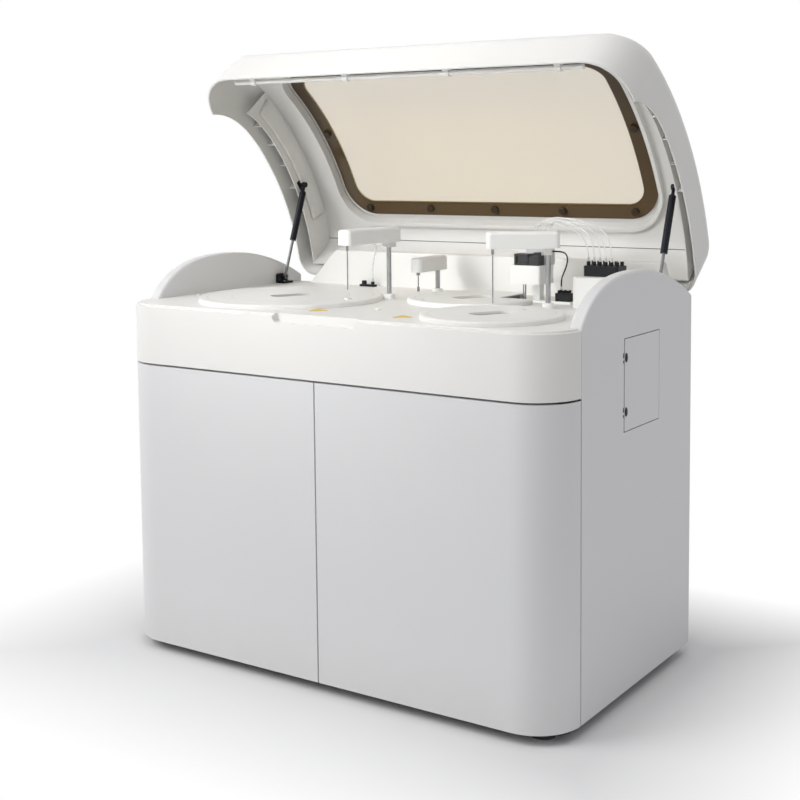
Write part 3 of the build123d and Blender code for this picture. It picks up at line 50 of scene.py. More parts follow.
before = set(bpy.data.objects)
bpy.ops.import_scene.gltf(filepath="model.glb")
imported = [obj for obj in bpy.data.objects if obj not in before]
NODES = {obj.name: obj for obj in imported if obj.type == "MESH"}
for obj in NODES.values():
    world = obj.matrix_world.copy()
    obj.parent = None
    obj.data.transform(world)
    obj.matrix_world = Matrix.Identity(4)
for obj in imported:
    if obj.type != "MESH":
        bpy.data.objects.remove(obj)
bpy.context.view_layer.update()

# ---------------------------------------------------------------- shared measures (metres)
FRONT_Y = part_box("front_fascia")[0].y
DECK_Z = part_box("deck")[1].z
# the open lid's turn about its hinge line; depths on the lid count from the front face
LID_OPEN = math.radians(53.4)
LID_COS = math.cos(LID_OPEN)
LID_SIN = math.sin(LID_OPEN)
HINGE_DEPTH = 0.720
HINGE_Y = FRONT_Y + HINGE_DEPTH
HINGE_Z = 0.865
# the circle that the closed lid's roof follows
ROOF_RADIUS = 0.800
ROOF_DEPTH = 0.405
ROOF_Z = 0.325
# points closer than this are one point
MERGE_DISTANCE = 1e-6


# ---------------------------------------------------------------- sizes a user may change
class AnalyzerColours(bpy.types.PropertyGroup):
    """Colours of the painted and moulded pieces."""

    paint: FloatVectorProperty(
        name="Panel paint", description="Powder coat of doors and side panels",
        subtype="COLOR", size=3, default=(0.775, 0.775, 0.778), min=0, max=1)
    moulding: FloatVectorProperty(
        name="Moulding", description="Warm white of the fascia, deck and lid",
        subtype="COLOR", size=3, default=(0.86, 0.853, 0.825), min=0, max=1)
    cover: FloatVectorProperty(
        name="Covers", description="Bright white of covers and arms",
        subtype="COLOR", size=3, default=(0.88, 0.878, 0.855), min=0, max=1)
    window: FloatVectorProperty(
        name="Window", description="Smoked pane of the lid",
        subtype="COLOR", size=3, default=(0.66, 0.47, 0.15), min=0, max=1)
    # the band's colour is the pane's brown tint with painted shade of the shell behind it
    window_band_tint_and_shade: FloatVectorProperty(
        name="Window rim", description="Brown band round the pane",
        subtype="COLOR", size=3, default=(0.100, 0.066, 0.034), min=0, max=1)


class AnalyzerTubes(bpy.types.PropertyGroup):
    """Sizes of the tubes and the cable."""

    tube_diameter: FloatProperty(
        name="Tube diameter", description="Outer diameter of the clear lines",
        subtype="DISTANCE", unit="LENGTH", default=0.0032, min=0.001, max=0.01)
    cable_diameter: FloatProperty(
        name="Cable diameter", description="Outer diameter of the arm's cable",
        subtype="DISTANCE", unit="LENGTH", default=0.0036, min=0.001, max=0.01)


class AnalyzerFasteners(bpy.types.PropertyGroup):
    """Sizes of the screws, the fan guard and the lid's ribs."""

    screw_radius: FloatProperty(
        name="Screw head radius", description="Radius of the panel screws' heads",
        subtype="DISTANCE", unit="LENGTH", default=0.0042, min=0.001, max=0.02)
    screw_height: FloatProperty(
        name="Screw head height", description="Height of the panel screws' heads",
        subtype="DISTANCE", unit="LENGTH", default=0.0016, min=0.0005, max=0.01)
    guard_rings: IntProperty(
        name="Guard rings", description="Wire rings of the fan guard", default=5, min=2, max=12)
    rib_count: IntProperty(
        name="Lid ribs", description="Stiffening ribs between each wing of the lid and its liner",
        default=4, min=2, max=12)


class AnalyzerStage(bpy.types.PropertyGroup):
    """Light and camera."""

    key_power: FloatProperty(
        name="Key light", description="Power of the large lamp", unit="POWER",
        default=99.0, min=0, max=2000)
    top_power: FloatProperty(
        name="Top light", description="Power of the lamp above the deck", unit="POWER",
        default=12.0, min=0, max=2000)
    front_power: FloatProperty(
        name="Front light", description="Power of the lamp that shines into the lid", unit="POWER",
        default=1.9, min=0, max=2000)
    world_strength: FloatProperty(
        name="Room light", description="Strength of the even light all round",
        default=0.45, min=0, max=2)
    lens: FloatProperty(
        name="Lens", description="Focal length on a 36 mm sensor", default=61.3, min=10, max=200)


# ---------------------------------------------------------------- shader expressions
class Value:
    """A shader socket that takes part in Python expressions."""

    def __init__(self, tree, socket):
        self.tree = tree
        self.socket = socket

    def maths(self, operation, *operands):
        """A Math node's result; the operands come in the node's own order."""
        node = self.tree.nodes.new("ShaderNodeMath")
        node.operation = operation
        for slot, item in zip(node.inputs, operands):
            connect(self.tree, slot, item)
        return Value(self.tree, node.outputs[0])

    def __add__(self, other):
        return self.maths("ADD", self, other)

    def __radd__(self, other):
        return self.maths("ADD", other, self)

    def __sub__(self, other):
        return self.maths("SUBTRACT", self, other)

    def __rsub__(self, other):
        return self.maths("SUBTRACT", other, self)

    def __mul__(self, other):
        return self.maths("MULTIPLY", self, other)

    def __rmul__(self, other):
        return self.maths("MULTIPLY", other, self)

    def above(self, edge):
        return self.maths("GREATER_THAN", self, edge)

    def below(self, edge):
        return self.maths("LESS_THAN", self, edge)

    def larger(self, other):
        return self.maths("MAXIMUM", self, other)

    def smaller(self, other):
        return self.maths("MINIMUM", self, other)

    def absolute(self):
        return self.maths("ABSOLUTE", self)

    def root(self):
        return self.maths("SQRT", self)


def connect(tree, slot, item):
    """Links a Value to a socket, or writes a plain value on it."""
    if isinstance(item, Value):
        tree.links.new(item.socket, slot)
    else:
        slot.default_value = item


# a Mix node's colour sockets, by number because their names repeat
COLOUR_A = 6
COLOUR_B = 7
COLOUR_MIX = 2
# nearly all of a noise lies in this range
NOISE_RANGE = (0.3, 0.7)


class Finish:
    """A node material with one Principled shader, built up by expressions."""

    def __init__(self, name):
        self.material = bpy.data.materials.new(name)
        self.material.use_nodes = True
        self.tree = self.material.node_tree
        self.tree.nodes.clear()
        self.shader = self.tree.nodes.new("ShaderNodeBsdfPrincipled")
        out = self.tree.nodes.new("ShaderNodeOutputMaterial")
        self.tree.links.new(self.shader.outputs[0], out.inputs["Surface"])
        self.object_place = self.node("ShaderNodeTexCoord", output="Object")

    def node(self, kind, settings=None, inputs=None, output=0):
        """One output of a new node, whose settings come before its sockets."""
        made = self.tree.nodes.new(kind)
        for key, value in (settings or {}).items():
            setattr(made, key, value)
        for key, value in (inputs or {}).items():
            connect(self.tree, made.inputs[key], value)
        return Value(self.tree, made.outputs[output])

    def set(self, **sockets):
        """Fills the shader's sockets; an underscore stands for a space."""
        for key, value in sockets.items():
            connect(self.tree, self.shader.inputs[key.replace("_", " ")], value)
        return self

    def stretched(self, scale):
        return self.node("ShaderNodeMapping", inputs={"Vector": self.object_place, "Scale": scale})

    def noise(self, scale, detail=2.0, roughness=0.5, at=None):
        return self.node("ShaderNodeTexNoise",
                         inputs={"Vector": at or self.object_place, "Scale": scale,
                                 "Detail": detail, "Roughness": roughness}, output="Fac")

    def axis(self, name):
        return self.node("ShaderNodeSeparateXYZ", inputs={"Vector": self.object_place}, output=name)

    def spread(self, value, old, new):
        """Stretches a value's range old over the range new, and clips it there."""
        return self.node("ShaderNodeMapRange",
                         inputs={"Value": value, "From Min": old[0], "From Max": old[1],
                                 "To Min": new[0], "To Max": new[1]})

    def blend(self, factor, first, second):
        made = self.tree.nodes.new("ShaderNodeMix")
        made.data_type = "RGBA"
        connect(self.tree, made.inputs["Factor"], factor)
        connect(self.tree, made.inputs[COLOUR_A], first)
        connect(self.tree, made.inputs[COLOUR_B], second)
        return Value(self.tree, made.outputs[COLOUR_MIX])

    def shades(self, factor, colour, dark, light):
        """A colour that runs from a darker to a lighter shade of itself."""
        return self.blend(factor, rgba(colour, dark), rgba(colour, light))

    def bump(self, height, strength, distance):
        return self.node("ShaderNodeBump",
                         inputs={"Height": height, "Strength": strength, "Distance": distance})


def dimmed(colour, gain):
    return tuple(part * gain for part in colour)


def rgba(colour, gain=1.0):
    return (*dimmed(colour, gain), 1.0)


# the heights over which the panels' patchy darkening towards the floor thins out, how much of it lies
# there, and its colour
LOW_DARKENING_HEIGHTS = (0.02, 0.16)
LOW_DARKENING_SHARE = 0.22
LOW_DARKENING_COLOUR = (0.52, 0.50, 0.46)


def powder_coat(name, colour, roughness=0.42):
    """Sprayed steel: a fine orange peel, faint clouds, and colour that turns patchily darker towards the
    floor.
    """
    f = Finish(name)
    cloud = f.noise(2.2, detail=3.0, roughness=0.55)
    peel = f.noise(420.0, roughness=0.6)
    low = f.spread(f.axis("Z"), LOW_DARKENING_HEIGHTS, (1.0, 0.0))
    low_darkening = low * f.noise(14.0, detail=4.0, roughness=0.7)
    shade = f.shades(cloud, colour, 0.975, 1.02)
    # darker in patches towards the bottom of the panels
    shade = f.blend(low_darkening * LOW_DARKENING_SHARE, shade, rgba(LOW_DARKENING_COLOUR))
    f.set(Base_Color=shade,
          Roughness=f.spread(cloud, NOISE_RANGE, (roughness - 0.04, roughness + 0.05)),
          Specular_IOR_Level=0.45, Normal=f.bump(peel, strength=0.10, distance=0.0004))
    return f.material


def moulded(name, colour, roughness=0.46, grain=900.0, depth=0.12):
    """Injection-moulded plastic with a fine spark-eroded grain."""
    f = Finish(name)
    cloud = f.noise(3.1, detail=3.0)
    fine = f.noise(grain, roughness=0.7)
    handled = f.noise(9.0, detail=4.0, roughness=0.65)
    f.set(Base_Color=f.shades(cloud, colour, 0.972, 1.018),
          Roughness=f.spread(handled, (0.35, 0.7), (roughness - 0.05, roughness + 0.05)),
          Specular_IOR_Level=0.42, Normal=f.bump(fine, strength=depth, distance=0.0003))
    return f.material


def black_moulding(name, colour=(0.016, 0.017, 0.020), roughness=0.42):
    """Dark moulded plastic, grained, and a little paler and rougher where it is worn."""
    f = Finish(name)
    fine = f.noise(1300.0, roughness=0.7)
    worn = f.noise(60.0, detail=4.0, roughness=0.7)
    f.set(Base_Color=f.shades(worn, colour, 0.7, 1.4),
          Roughness=f.spread(worn, NOISE_RANGE, (roughness - 0.07, roughness + 0.08)),
          Specular_IOR_Level=0.18, Normal=f.bump(fine, strength=0.18, distance=0.0003))
    return f.material


def black_enamel(name):
    """Glossy black enamel with faint turning marks."""
    f = Finish(name)
    lines = f.noise(5.0, at=f.stretched((60.0, 60.0, 900.0)))
    f.set(Base_Color=f.blend(lines, rgba((0.006, 0.007, 0.011)), rgba((0.011, 0.013, 0.020))),
          Roughness=f.spread(lines, NOISE_RANGE, (0.30, 0.42)),
          Specular_IOR_Level=0.16, Coat_Weight=0.06, Coat_Roughness=0.10)
    return f.material


# scales of a streak that runs the same all ways, or is drawn out upright
ALL_WAYS = (1.0, 1.0, 1.0)
UPRIGHT = (1.0, 1.0, 0.02)


def bright_steel(name, along=UPRIGHT, roughness=0.26, colour=(0.56, 0.565, 0.57)):
    """Ground or drawn steel, its marks drawn out along one axis."""
    f = Finish(name)
    streak = f.noise(900.0, detail=3.0, roughness=0.6, at=f.stretched(along))
    tone = f.noise(30.0, detail=3.0)
    f.set(Base_Color=f.shades(tone, colour, 0.90, 1.10), Metallic=1.0,
          Roughness=f.spread(streak, NOISE_RANGE, (roughness - 0.08, roughness + 0.10)),
          Normal=f.bump(streak, strength=0.08, distance=0.0002))
    return f.material


def zinc_plate(name):
    """Bright zinc plating with its flowered patches."""
    f = Finish(name)
    flower = f.node("ShaderNodeTexVoronoi", {"feature": "F1"},
                    {"Vector": f.object_place, "Scale": 46.0}, "Distance")
    grain = f.noise(160.0, detail=3.0, roughness=0.6)
    f.set(Base_Color=f.blend(flower * 1.4, rgba((0.50, 0.51, 0.53)), rgba((0.62, 0.63, 0.645))),
          Metallic=1.0, Roughness=f.spread(grain, NOISE_RANGE, (0.30, 0.46)),
          Normal=f.bump(grain, strength=0.05, distance=0.0003))
    return f.material


def soft_tube(name, colour=(0.90, 0.91, 0.90), alpha=0.93):
    """Milky plastic tube, a little see-through."""
    f = Finish(name)
    cloud = f.noise(60.0, detail=3.0, roughness=0.6)
    f.set(Base_Color=f.shades(cloud, colour, 0.93, 1.05),
          Roughness=f.spread(cloud, NOISE_RANGE, (0.18, 0.30)), Alpha=alpha, IOR=1.40,
          Coat_Weight=0.3, Coat_Roughness=0.1)
    return f.material


# heights between which a tank's wet wall turns dry
TANK_LEVEL = (0.24, 0.26)


def tank_wall(name):
    """Blown plastic tank, greyer where the water stands behind it."""
    f = Finish(name)
    cloud = f.noise(7.0, detail=4.0, roughness=0.6)
    level = f.spread(f.axis("Z"), TANK_LEVEL, (0.0, 1.0))
    wet = f.blend(level, rgba((0.55, 0.60, 0.60)), rgba((0.76, 0.78, 0.76)))
    f.set(Base_Color=f.blend(cloud * 0.3, wet, rgba((0.70, 0.73, 0.71))),
          Roughness=f.spread(cloud, NOISE_RANGE, (0.38, 0.50)),
          Normal=f.bump(cloud, strength=0.15, distance=0.001))
    return f.material


def two_finishes(name, first, second, axis, edge, rough, metal=(0.0, 0.0)):
    """One material for a node of unlike solids: the first colour up to the edge, the second past it."""
    f = Finish(name)
    mask = f.axis(axis).above(edge)
    cloud = f.noise(30.0, detail=3.0, roughness=0.6)
    fine = f.noise(700.0, roughness=0.6)
    one = f.shades(cloud, first, 0.95, 1.05)
    two = f.shades(cloud, second, 0.92, 1.08)
    f.set(Base_Color=f.blend(mask, one, two), Metallic=metal[0] + mask * (metal[1] - metal[0]),
          Roughness=rough[0] + mask * (rough[1] - rough[0]) + cloud * 0.06,
          Normal=f.bump(fine, strength=0.1, distance=0.0003))
    return f.material


# ---------------------------------------------------------------- mesh helpers
def link(obj):
    bpy.context.scene.collection.objects.link(obj)
    return obj


def mesh_piece(name, verts, faces, material, smooth=True):
    """A mesh object at the origin, its place in its mesh, with outward normals."""
    mesh = bpy.data.meshes.new(name)
    mesh.from_pydata([tuple(v) for v in verts], [], faces)
    shape = bmesh.new()
    shape.from_mesh(mesh)
    bmesh.ops.remove_doubles(shape, verts=shape.verts, dist=MERGE_DISTANCE)
    bmesh.ops.recalc_face_normals(shape, faces=shape.faces)
    shape.to_mesh(mesh)
    shape.free()
    for polygon in mesh.polygons:
        polygon.use_smooth = smooth
    mesh.materials.append(material)
    return link(bpy.data.objects.new(name, mesh))


def dress(node, material):
    """Gives a CAD node one finish."""
    data = NODES[node].data
    data.materials.clear()
    data.materials.append(material)


def settled_mesh(obj):
    """Plain mesh of an object with its modifiers and bevel."""
    bpy.context.view_layer.update()
    return bpy.data.meshes.new_from_object(obj.evaluated_get(bpy.context.evaluated_depsgraph_get()))


def roof_place(depth, inward):
    """Depth and height of a place inward from the closed lid's roof."""
    tilt = math.asin((depth - ROOF_DEPTH) / ROOF_RADIUS)
    radius = ROOF_RADIUS - inward
    return ROOF_DEPTH + radius * math.sin(tilt), ROOF_Z + radius * math.cos(tilt)


def closed_depth(y, z):
    """Depth in the closed lid of a place on the open lid; numbers or shader values."""
    return HINGE_DEPTH + (y - HINGE_Y) * LID_COS - (z - HINGE_Z) * LID_SIN


def closed_height(y, z):
    """Height in the closed lid of a place on the open lid; numbers or shader values."""
    return HINGE_Z + (y - HINGE_Y) * LID_SIN + (z - HINGE_Z) * LID_COS


def opened(x, depth, z):
    """Turns a place of the closed lid to where it rests on the open lid."""
    dy = depth - HINGE_DEPTH
    dz = z - HINGE_Z
    return Vector((x, HINGE_Y + dy * LID_COS + dz * LID_SIN, HINGE_Z - dy * LID_SIN + dz * LID_COS))


# ---------------------------------------------------------------- geometry nodes
class PieceTree:
    """A geometry node tree with named inputs, which stands one shape on each of its points."""

    def __init__(self, name, material):
        self.tree = bpy.data.node_groups.new(name, "GeometryNodeTree")
        for way in ("INPUT", "OUTPUT"):
            self.tree.interface.new_socket("Geometry", in_out=way, socket_type="NodeSocketGeometry")
        self.material = material
        self.start = self.tree.nodes.new("NodeGroupInput")
        self.end = self.tree.nodes.new("NodeGroupOutput")

    def size(self, name, value):
        """A named input of the tree and its default."""
        kind = "NodeSocketInt" if isinstance(value, int) else "NodeSocketFloat"
        made = self.tree.interface.new_socket(name, in_out="INPUT", socket_type=kind)
        made.default_value = value
        return self.start.outputs[name]

    def node(self, kind, settings=None, inputs=None):
        """A new node; an input that is a node takes that node's first output."""
        made = self.tree.nodes.new(kind)
        for key, value in (settings or {}).items():
            setattr(made, key, value)
        for key, value in (inputs or {}).items():
            if isinstance(value, bpy.types.Node):
                value = value.outputs[0]
            if isinstance(value, bpy.types.NodeSocket):
                self.tree.links.new(value, made.inputs[key])
            else:
                made.inputs[key].default_value = value
        return made

    def extruded(self, mesh, offset, picked=None):
        """A mesh whose picked faces are raised; the node's second output picks them again."""
        inputs = {"Mesh": mesh, "Offset Scale": offset}
        if picked:
            inputs["Selection"] = picked.outputs[1]
        return self.node("GeometryNodeExtrudeMesh", {"mode": "FACES"}, inputs)

    def narrowed(self, mesh, scale, picked):
        """A mesh whose picked faces are scaled about their own middle."""
        return self.node("GeometryNodeScaleElements", {"domain": "FACE"},
                         {"Geometry": mesh, "Selection": picked.outputs[1], "Scale": scale})

    def finish(self, shape):
        """Stands the shape on each point, its Z axis along 'facing', and ends the tree."""
        facing = self.node("GeometryNodeInputNamedAttribute", {"data_type": "FLOAT_VECTOR"},
                           {"Name": "facing"})
        turn = self.node("FunctionNodeAlignRotationToVector", {"axis": "Z"}, {"Vector": facing})
        laid = self.node("GeometryNodeInstanceOnPoints",
                         inputs={"Points": self.start, "Instance": shape, "Rotation": turn})
        real = self.node("GeometryNodeRealizeInstances", inputs={"Geometry": laid})
        painted = self.node("GeometryNodeSetMaterial",
                            inputs={"Geometry": real, "Material": self.material})
        self.tree.links.new(painted.outputs[0], self.end.inputs[0])
        return self.tree


def grown(name, tree, verts, normals, body):
    """Runs a tree on loose points that carry a 'facing' direction and keeps the plain mesh."""
    mesh = bpy.data.meshes.new(name + "_points")
    mesh.from_pydata([tuple(v) for v in verts], [], [])
    facing = mesh.attributes.new("facing", "FLOAT_VECTOR", "POINT")
    for item, normal in zip(facing.data, normals):
        item.vector = normal
    seed = link(bpy.data.objects.new(name + "_points", mesh))
    modifier = seed.modifiers.new("grow", "NODES")
    modifier.node_group = tree
    result = settled_mesh(seed)
    result.name = name
    piece = link(bpy.data.objects.new(name, result))
    bpy.data.objects.remove(seed)
    if not result.polygons:
        raise RuntimeError(name + " came out empty")
    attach(piece, body)
    return piece


# shares of a screw head's radius and height
HEAD_CROWN = 0.22
HEAD_TOP = 0.72
SOCKET_WIDTH = 0.55
SOCKET_DEPTH = 0.7
# raises a face only to split it from the one below
HAIR = 0.00001


def screw_tree(material, radius, height):
    """Pan-head screws with a socket, one on each point, facing along its normal."""
    g = PieceTree("screws", material)
    head = g.size("Head radius", radius)
    tall = g.size("Head height", height)
    disc = g.node("GeometryNodeMeshCircle", {"fill_type": "NGON"}, {"Vertices": 20, "Radius": head})
    wall = g.extruded(disc, tall)
    crown = g.extruded(wall, radius * HEAD_CROWN, wall)
    lip = g.narrowed(crown, HEAD_TOP, crown)
    rim = g.extruded(lip, HAIR, crown)
    mouth = g.narrowed(rim, SOCKET_WIDTH, rim)
    return g.finish(g.extruded(mouth, -height * SOCKET_DEPTH, rim))


def ring_tree(material, spacing, wire, count):
    """Concentric wire rings of a fan guard round each point."""
    g = PieceTree("guard_rings", material)
    step = g.size("Ring spacing", spacing)
    thick = g.size("Wire radius", wire)
    rings = g.size("Rings", count)
    line = g.node("GeometryNodeMeshLine", {"mode": "OFFSET"}, {"Count": rings, "Offset": (0, 0, 0)})
    circle = g.node("GeometryNodeCurvePrimitiveCircle", {"mode": "RADIUS"},
                    {"Resolution": 48, "Radius": 1.0})
    index = g.node("GeometryNodeInputIndex")
    number = g.node("ShaderNodeMath", {"operation": "ADD"}, {0: index, 1: 1.0})
    size = g.node("ShaderNodeMath", {"operation": "MULTIPLY"}, {0: number, 1: step})
    scaled = g.node("ShaderNodeCombineXYZ", inputs={"X": size, "Y": size, "Z": 1.0})
    laid = g.node("GeometryNodeInstanceOnPoints",
                  inputs={"Points": line, "Instance": circle, "Scale": scaled})
    real = g.node("GeometryNodeRealizeInstances", inputs={"Geometry": laid})
    section = g.node("GeometryNodeCurvePrimitiveCircle", {"mode": "RADIUS"},
                     {"Resolution": 8, "Radius": thick})
    return g.finish(g.node("GeometryNodeCurveToMesh", inputs={"Curve": real, "Profile Curve": section}))


def block_tree(name, material, width, depth, height):
    """A plain plate on each point, its height along the point's normal."""
    g = PieceTree(name, material)
    size = g.node("ShaderNodeCombineXYZ", inputs={
        "X": g.size("Width", width), "Y": g.size("Depth", depth), "Z": g.size("Height", height)})
    return g.finish(g.node("GeometryNodeMeshCube", inputs={"Size": size}))


# shares of a ferrule's radius and height
FERRULE_FOOT_WIDTH = 1.55
FERRULE_FOOT_HEIGHT = 0.3


def sleeve_tree(material, radius, height):
    """A ferrule round each tube end: a sleeve with a wider foot."""
    g = PieceTree("sleeves", material)
    wide = g.size("Radius", radius)
    tall = g.size("Height", height)
    sleeve = g.node("GeometryNodeMeshCylinder", inputs={"Vertices": 20, "Radius": wide, "Depth": tall})
    thick = height * FERRULE_FOOT_HEIGHT
    foot = g.node("GeometryNodeMeshCylinder", inputs={
        "Vertices": 6, "Radius": radius * FERRULE_FOOT_WIDTH, "Depth": thick})
    lowered = g.node("GeometryNodeTransform", inputs={
        "Geometry": foot, "Translation": (0, 0, (thick - height) / 2)})
    both = g.node("GeometryNodeJoinGeometry")
    for part in (sleeve, lowered):
        g.tree.links.new(part.outputs[0], both.inputs[0])
    return g.finish(both)


# how wide and how tall a cap's base and its raised middle are, as shares of the whole cap
CAP_STEPS = ((1.0, 0.5), (0.62, 1.0))


def cap_tree(material, half, share, height):
    """An oval cap with a raised middle on each point; its long axis stands upright."""
    g = PieceTree("hinge_caps", material)
    wide = g.size("Half length", half)
    both = g.node("GeometryNodeJoinGeometry")
    for scale, tall in CAP_STEPS:
        depth = height * tall
        disc = g.node("GeometryNodeMeshCylinder", inputs={"Vertices": 32, "Radius": wide, "Depth": depth})
        oval = g.node("GeometryNodeTransform", inputs={
            "Geometry": disc, "Translation": (0, 0, depth / 2), "Scale": (scale, scale * share, 1.0)})
        g.tree.links.new(oval.outputs[0], both.inputs[0])
    return g.finish(both)


# ---------------------------------------------------------------- tubes and cable
def in_frame(place):
    """Moves a place measured from the front face into the frame."""
    x, y, z = place
    return (x, y + FRONT_Y, z)


def smooth_line(name, points, material):
    """One smooth curve through a given route."""
    curve = bpy.data.curves.new(name + "_line", "CURVE")
    curve.dimensions = "3D"
    curve.bevel_resolution = 4
    curve.resolution_u = 10
    curve.use_fill_caps = True
    line = curve.splines.new("NURBS")
    line.points.add(len(points) - 1)
    for item, place in zip(line.points, points):
        item.co = (*place, 1.0)
    line.order_u = 3
    line.use_endpoint_u = True
    curve.materials.append(material)
    return link(bpy.data.objects.new(name + "_line", curve))


def lay_cord(name, node, points, diameter, material, moving_end, cabinet_end):
    """A tube along its route that takes the place of a node, which it hides; the moving and cabinet ends
    it is given are not used.
    """
    route = [in_frame(place) for place in points]
    line = smooth_line(name, route, material)
    centre = [tuple(v.co) for v in settled_mesh(line).vertices]
    line.data.bevel_depth = diameter / 2
    mesh = settled_mesh(line)
    mesh.name = name
    bpy.data.objects.remove(line)
    tube = link(bpy.data.objects.new(name, mesh))
    in_frame(moving_end)
    in_frame(cabinet_end)
    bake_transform(tube)
    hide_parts(node)
    return tube


WASH_TUBES = 5
# the first clear line's ends on the motor box and the tower, and the steps to the next line
MOTOR_X = 0.274
MOTOR_Y = 0.542
MOTOR_STEP = 0.011
MOTOR_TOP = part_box("wash_fittings")[1].z
NUB_X = 0.456
NUB_Y = 0.486
NUB_STEP = 0.015
NUB_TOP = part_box("tube_manifold")[1].z
# the top of the lowest line's arch, the steps between the arches, and how far they fan out
ARCH_TOP = 1.083
ARCH_STEP = 0.003
FAN_STEP = 0.007


def wash_route(index):
    """Route of one clear line, from the wash station's motor box to the tower."""
    x0, y0 = MOTOR_X + MOTOR_STEP * index, MOTOR_Y
    end_x, end_y = NUB_X + NUB_STEP * index, NUB_Y
    top = ARCH_TOP + ARCH_STEP * ((index * 2) % WASH_TUBES)
    sway = FAN_STEP * (index - WASH_TUBES // 2)
    return [
        (x0, y0, MOTOR_TOP),
        (x0, y0, MOTOR_TOP + 0.018),
        (x0 + 0.016, y0 - 0.006 + sway * 0.3, top - 0.008),
        (x0 + 0.042, y0 - 0.014 + sway * 0.6, top),
        (x0 + 0.078, y0 - 0.026 + sway * 0.8, top + 0.001),
        (x0 * 0.6 + end_x * 0.4 + 0.050, y0 - 0.037 + sway * 0.6, top - 0.009),
        (x0 * 0.25 + end_x * 0.75 + 0.020, y0 - 0.042 + sway * 0.3, top - 0.025),
        (end_x - 0.010, end_y + 0.009, top - 0.048),
        (end_x, end_y, NUB_TOP + 0.020),
        (end_x, end_y, NUB_TOP),
    ]


# routes of the sample arm's cable and the reagent arm's line, measured from the front face
CABLE_ROUTE = [
    (0.3995, 0.4070, 1.022),
    (0.4111, 0.4148, 1.022),
    (0.4215, 0.4330, 1.018),
    (0.4175, 0.4540, 1.002),
    (0.4035, 0.4730, 0.980),
    (0.3855, 0.4910, 0.960),
    (0.3650, 0.5210, 0.943),
    (0.3650, 0.5210, 0.919),
]
LINE_ROUTE = [
    (-0.2840, 0.6400, 0.900),
    (-0.2840, 0.6400, 0.924),
    (-0.2680, 0.6180, 0.948),
    (-0.2400, 0.5870, 0.974),
    (-0.2080, 0.5490, 0.996),
    (-0.1790, 0.5070, 1.012),
    (-0.1510, 0.4640, 1.022),
    (-0.1240, 0.4240, 1.0257),
    (-0.0976, 0.4016, 1.0257),
    (-0.0738, 0.3981, 1.0257),
]


# ---------------------------------------------------------------- operators
OPERATORS = []


def operator(cls):
    """Notes an operator class, in the order in which main calls them."""
    OPERATORS.append(cls)
    return cls


WHITE = (1, 1, 1, 1)
ROOM_COLOUR = (0.975, 0.975, 1.0, 1)
FLOOR_REACH = 14.0
FLOOR_BACK = 9.0
# distances from the object over which the floor turns white
WHITE_BAND = (0.06, 0.50)
# each lamp's place, the place it shines at, its width in metres and its spread in degrees
LAMPS = {
    "key": ((-2.8, -3.0, 3.7), (0.0, 0.0, 0.7), 3.0, 180),
    "top": ((0.75, -1.1, 3.3), (0.0, 0.0, 0.9), 1.6, 180),
    "front": ((-0.9, -2.9, 2.0), (0.0, 0.1, 1.25), 1.0, 30),
}
# the camera's turns in radians, its shift and its place, measured from the front face
CAMERA_YAW = -0.5908
CAMERA_PITCH = 0.0882
CAMERA_ROLL = -0.0096
CAMERA_SHIFT = (-0.0094, -0.1588)
CAMERA_PLACE = (1.9005, -2.4431, 1.2573)


@operator
class ANALYZER_OT_stage(bpy.types.Operator):
    """Lays the floor and sets the lamps, the room light and the camera"""

    bl_idname = "analyzer.stage"
    bl_label = "Studio"

    def execute(self, context):
        sizes = context.scene.analyzer_stage
        lay_floor()
        for name, (place, target, width, spread) in LAMPS.items():
            hang_lamp(name, place, target, getattr(sizes, name + "_power"), width, spread)
        light_room(sizes.world_strength)
        place_camera(sizes.lens)
        return {"FINISHED"}


def lay_floor():
    """A pale floor that melts into the white background, while its light and shadows stay."""
    f = Finish("studio floor")
    cloud = f.noise(1.5)
    f.set(Base_Color=f.blend(cloud, rgba((0.86, 0.86, 0.86)), rgba((0.89, 0.89, 0.89))),
          Roughness=0.75)
    mesh = bpy.data.meshes.new("floor")
    verts = [(-FLOOR_REACH, -FLOOR_REACH, 0), (FLOOR_REACH, -FLOOR_REACH, 0),
             (FLOOR_REACH, FLOOR_BACK, 0), (-FLOOR_REACH, FLOOR_BACK, 0)]
    mesh.from_pydata(verts, [], [(0, 1, 2, 3)])
    mesh.materials.append(f.material)
    floor = link(bpy.data.objects.new("floor", mesh))
    whiten_far(f)


def whiten_far(f):
    """Turns a finish white for the camera, away from the object."""
    glow = f.tree.nodes.new("ShaderNodeEmission")
    glow.inputs["Color"].default_value = WHITE
    out = next(n for n in f.tree.nodes if n.type == "OUTPUT_MATERIAL")
    low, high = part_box("front_fascia")
    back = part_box("rear_sheet")[1].y
    x, y = f.axis("X"), f.axis("Y")
    aside = x.absolute() - high.x
    along = (y - back).larger(low.y - y)
    far = f.spread(aside.larger(along), WHITE_BAND, (0.0, 1.0))
    mix_shaders(f.tree, seen_rays(f.tree) * far, f.shader, glow, out)


def mix_shaders(tree, factor, first, second, out):
    """Sends a mix of two shaders to the tree's output."""
    mixer = tree.nodes.new("ShaderNodeMixShader")
    connect(tree, mixer.inputs[0], factor)
    tree.links.new(first.outputs[0], mixer.inputs[1])
    tree.links.new(second.outputs[0], mixer.inputs[2])
    tree.links.new(mixer.outputs[0], out.inputs["Surface"])


def seen_rays(tree):
    """1 for rays of the camera, of a reflection or through glass."""
    path = tree.nodes.new("ShaderNodeLightPath")
    seen = Value(tree, path.outputs["Is Camera Ray"])
    for ray in ("Is Glossy Ray", "Is Transmission Ray"):
        seen = seen.larger(Value(tree, path.outputs[ray]))
    return seen


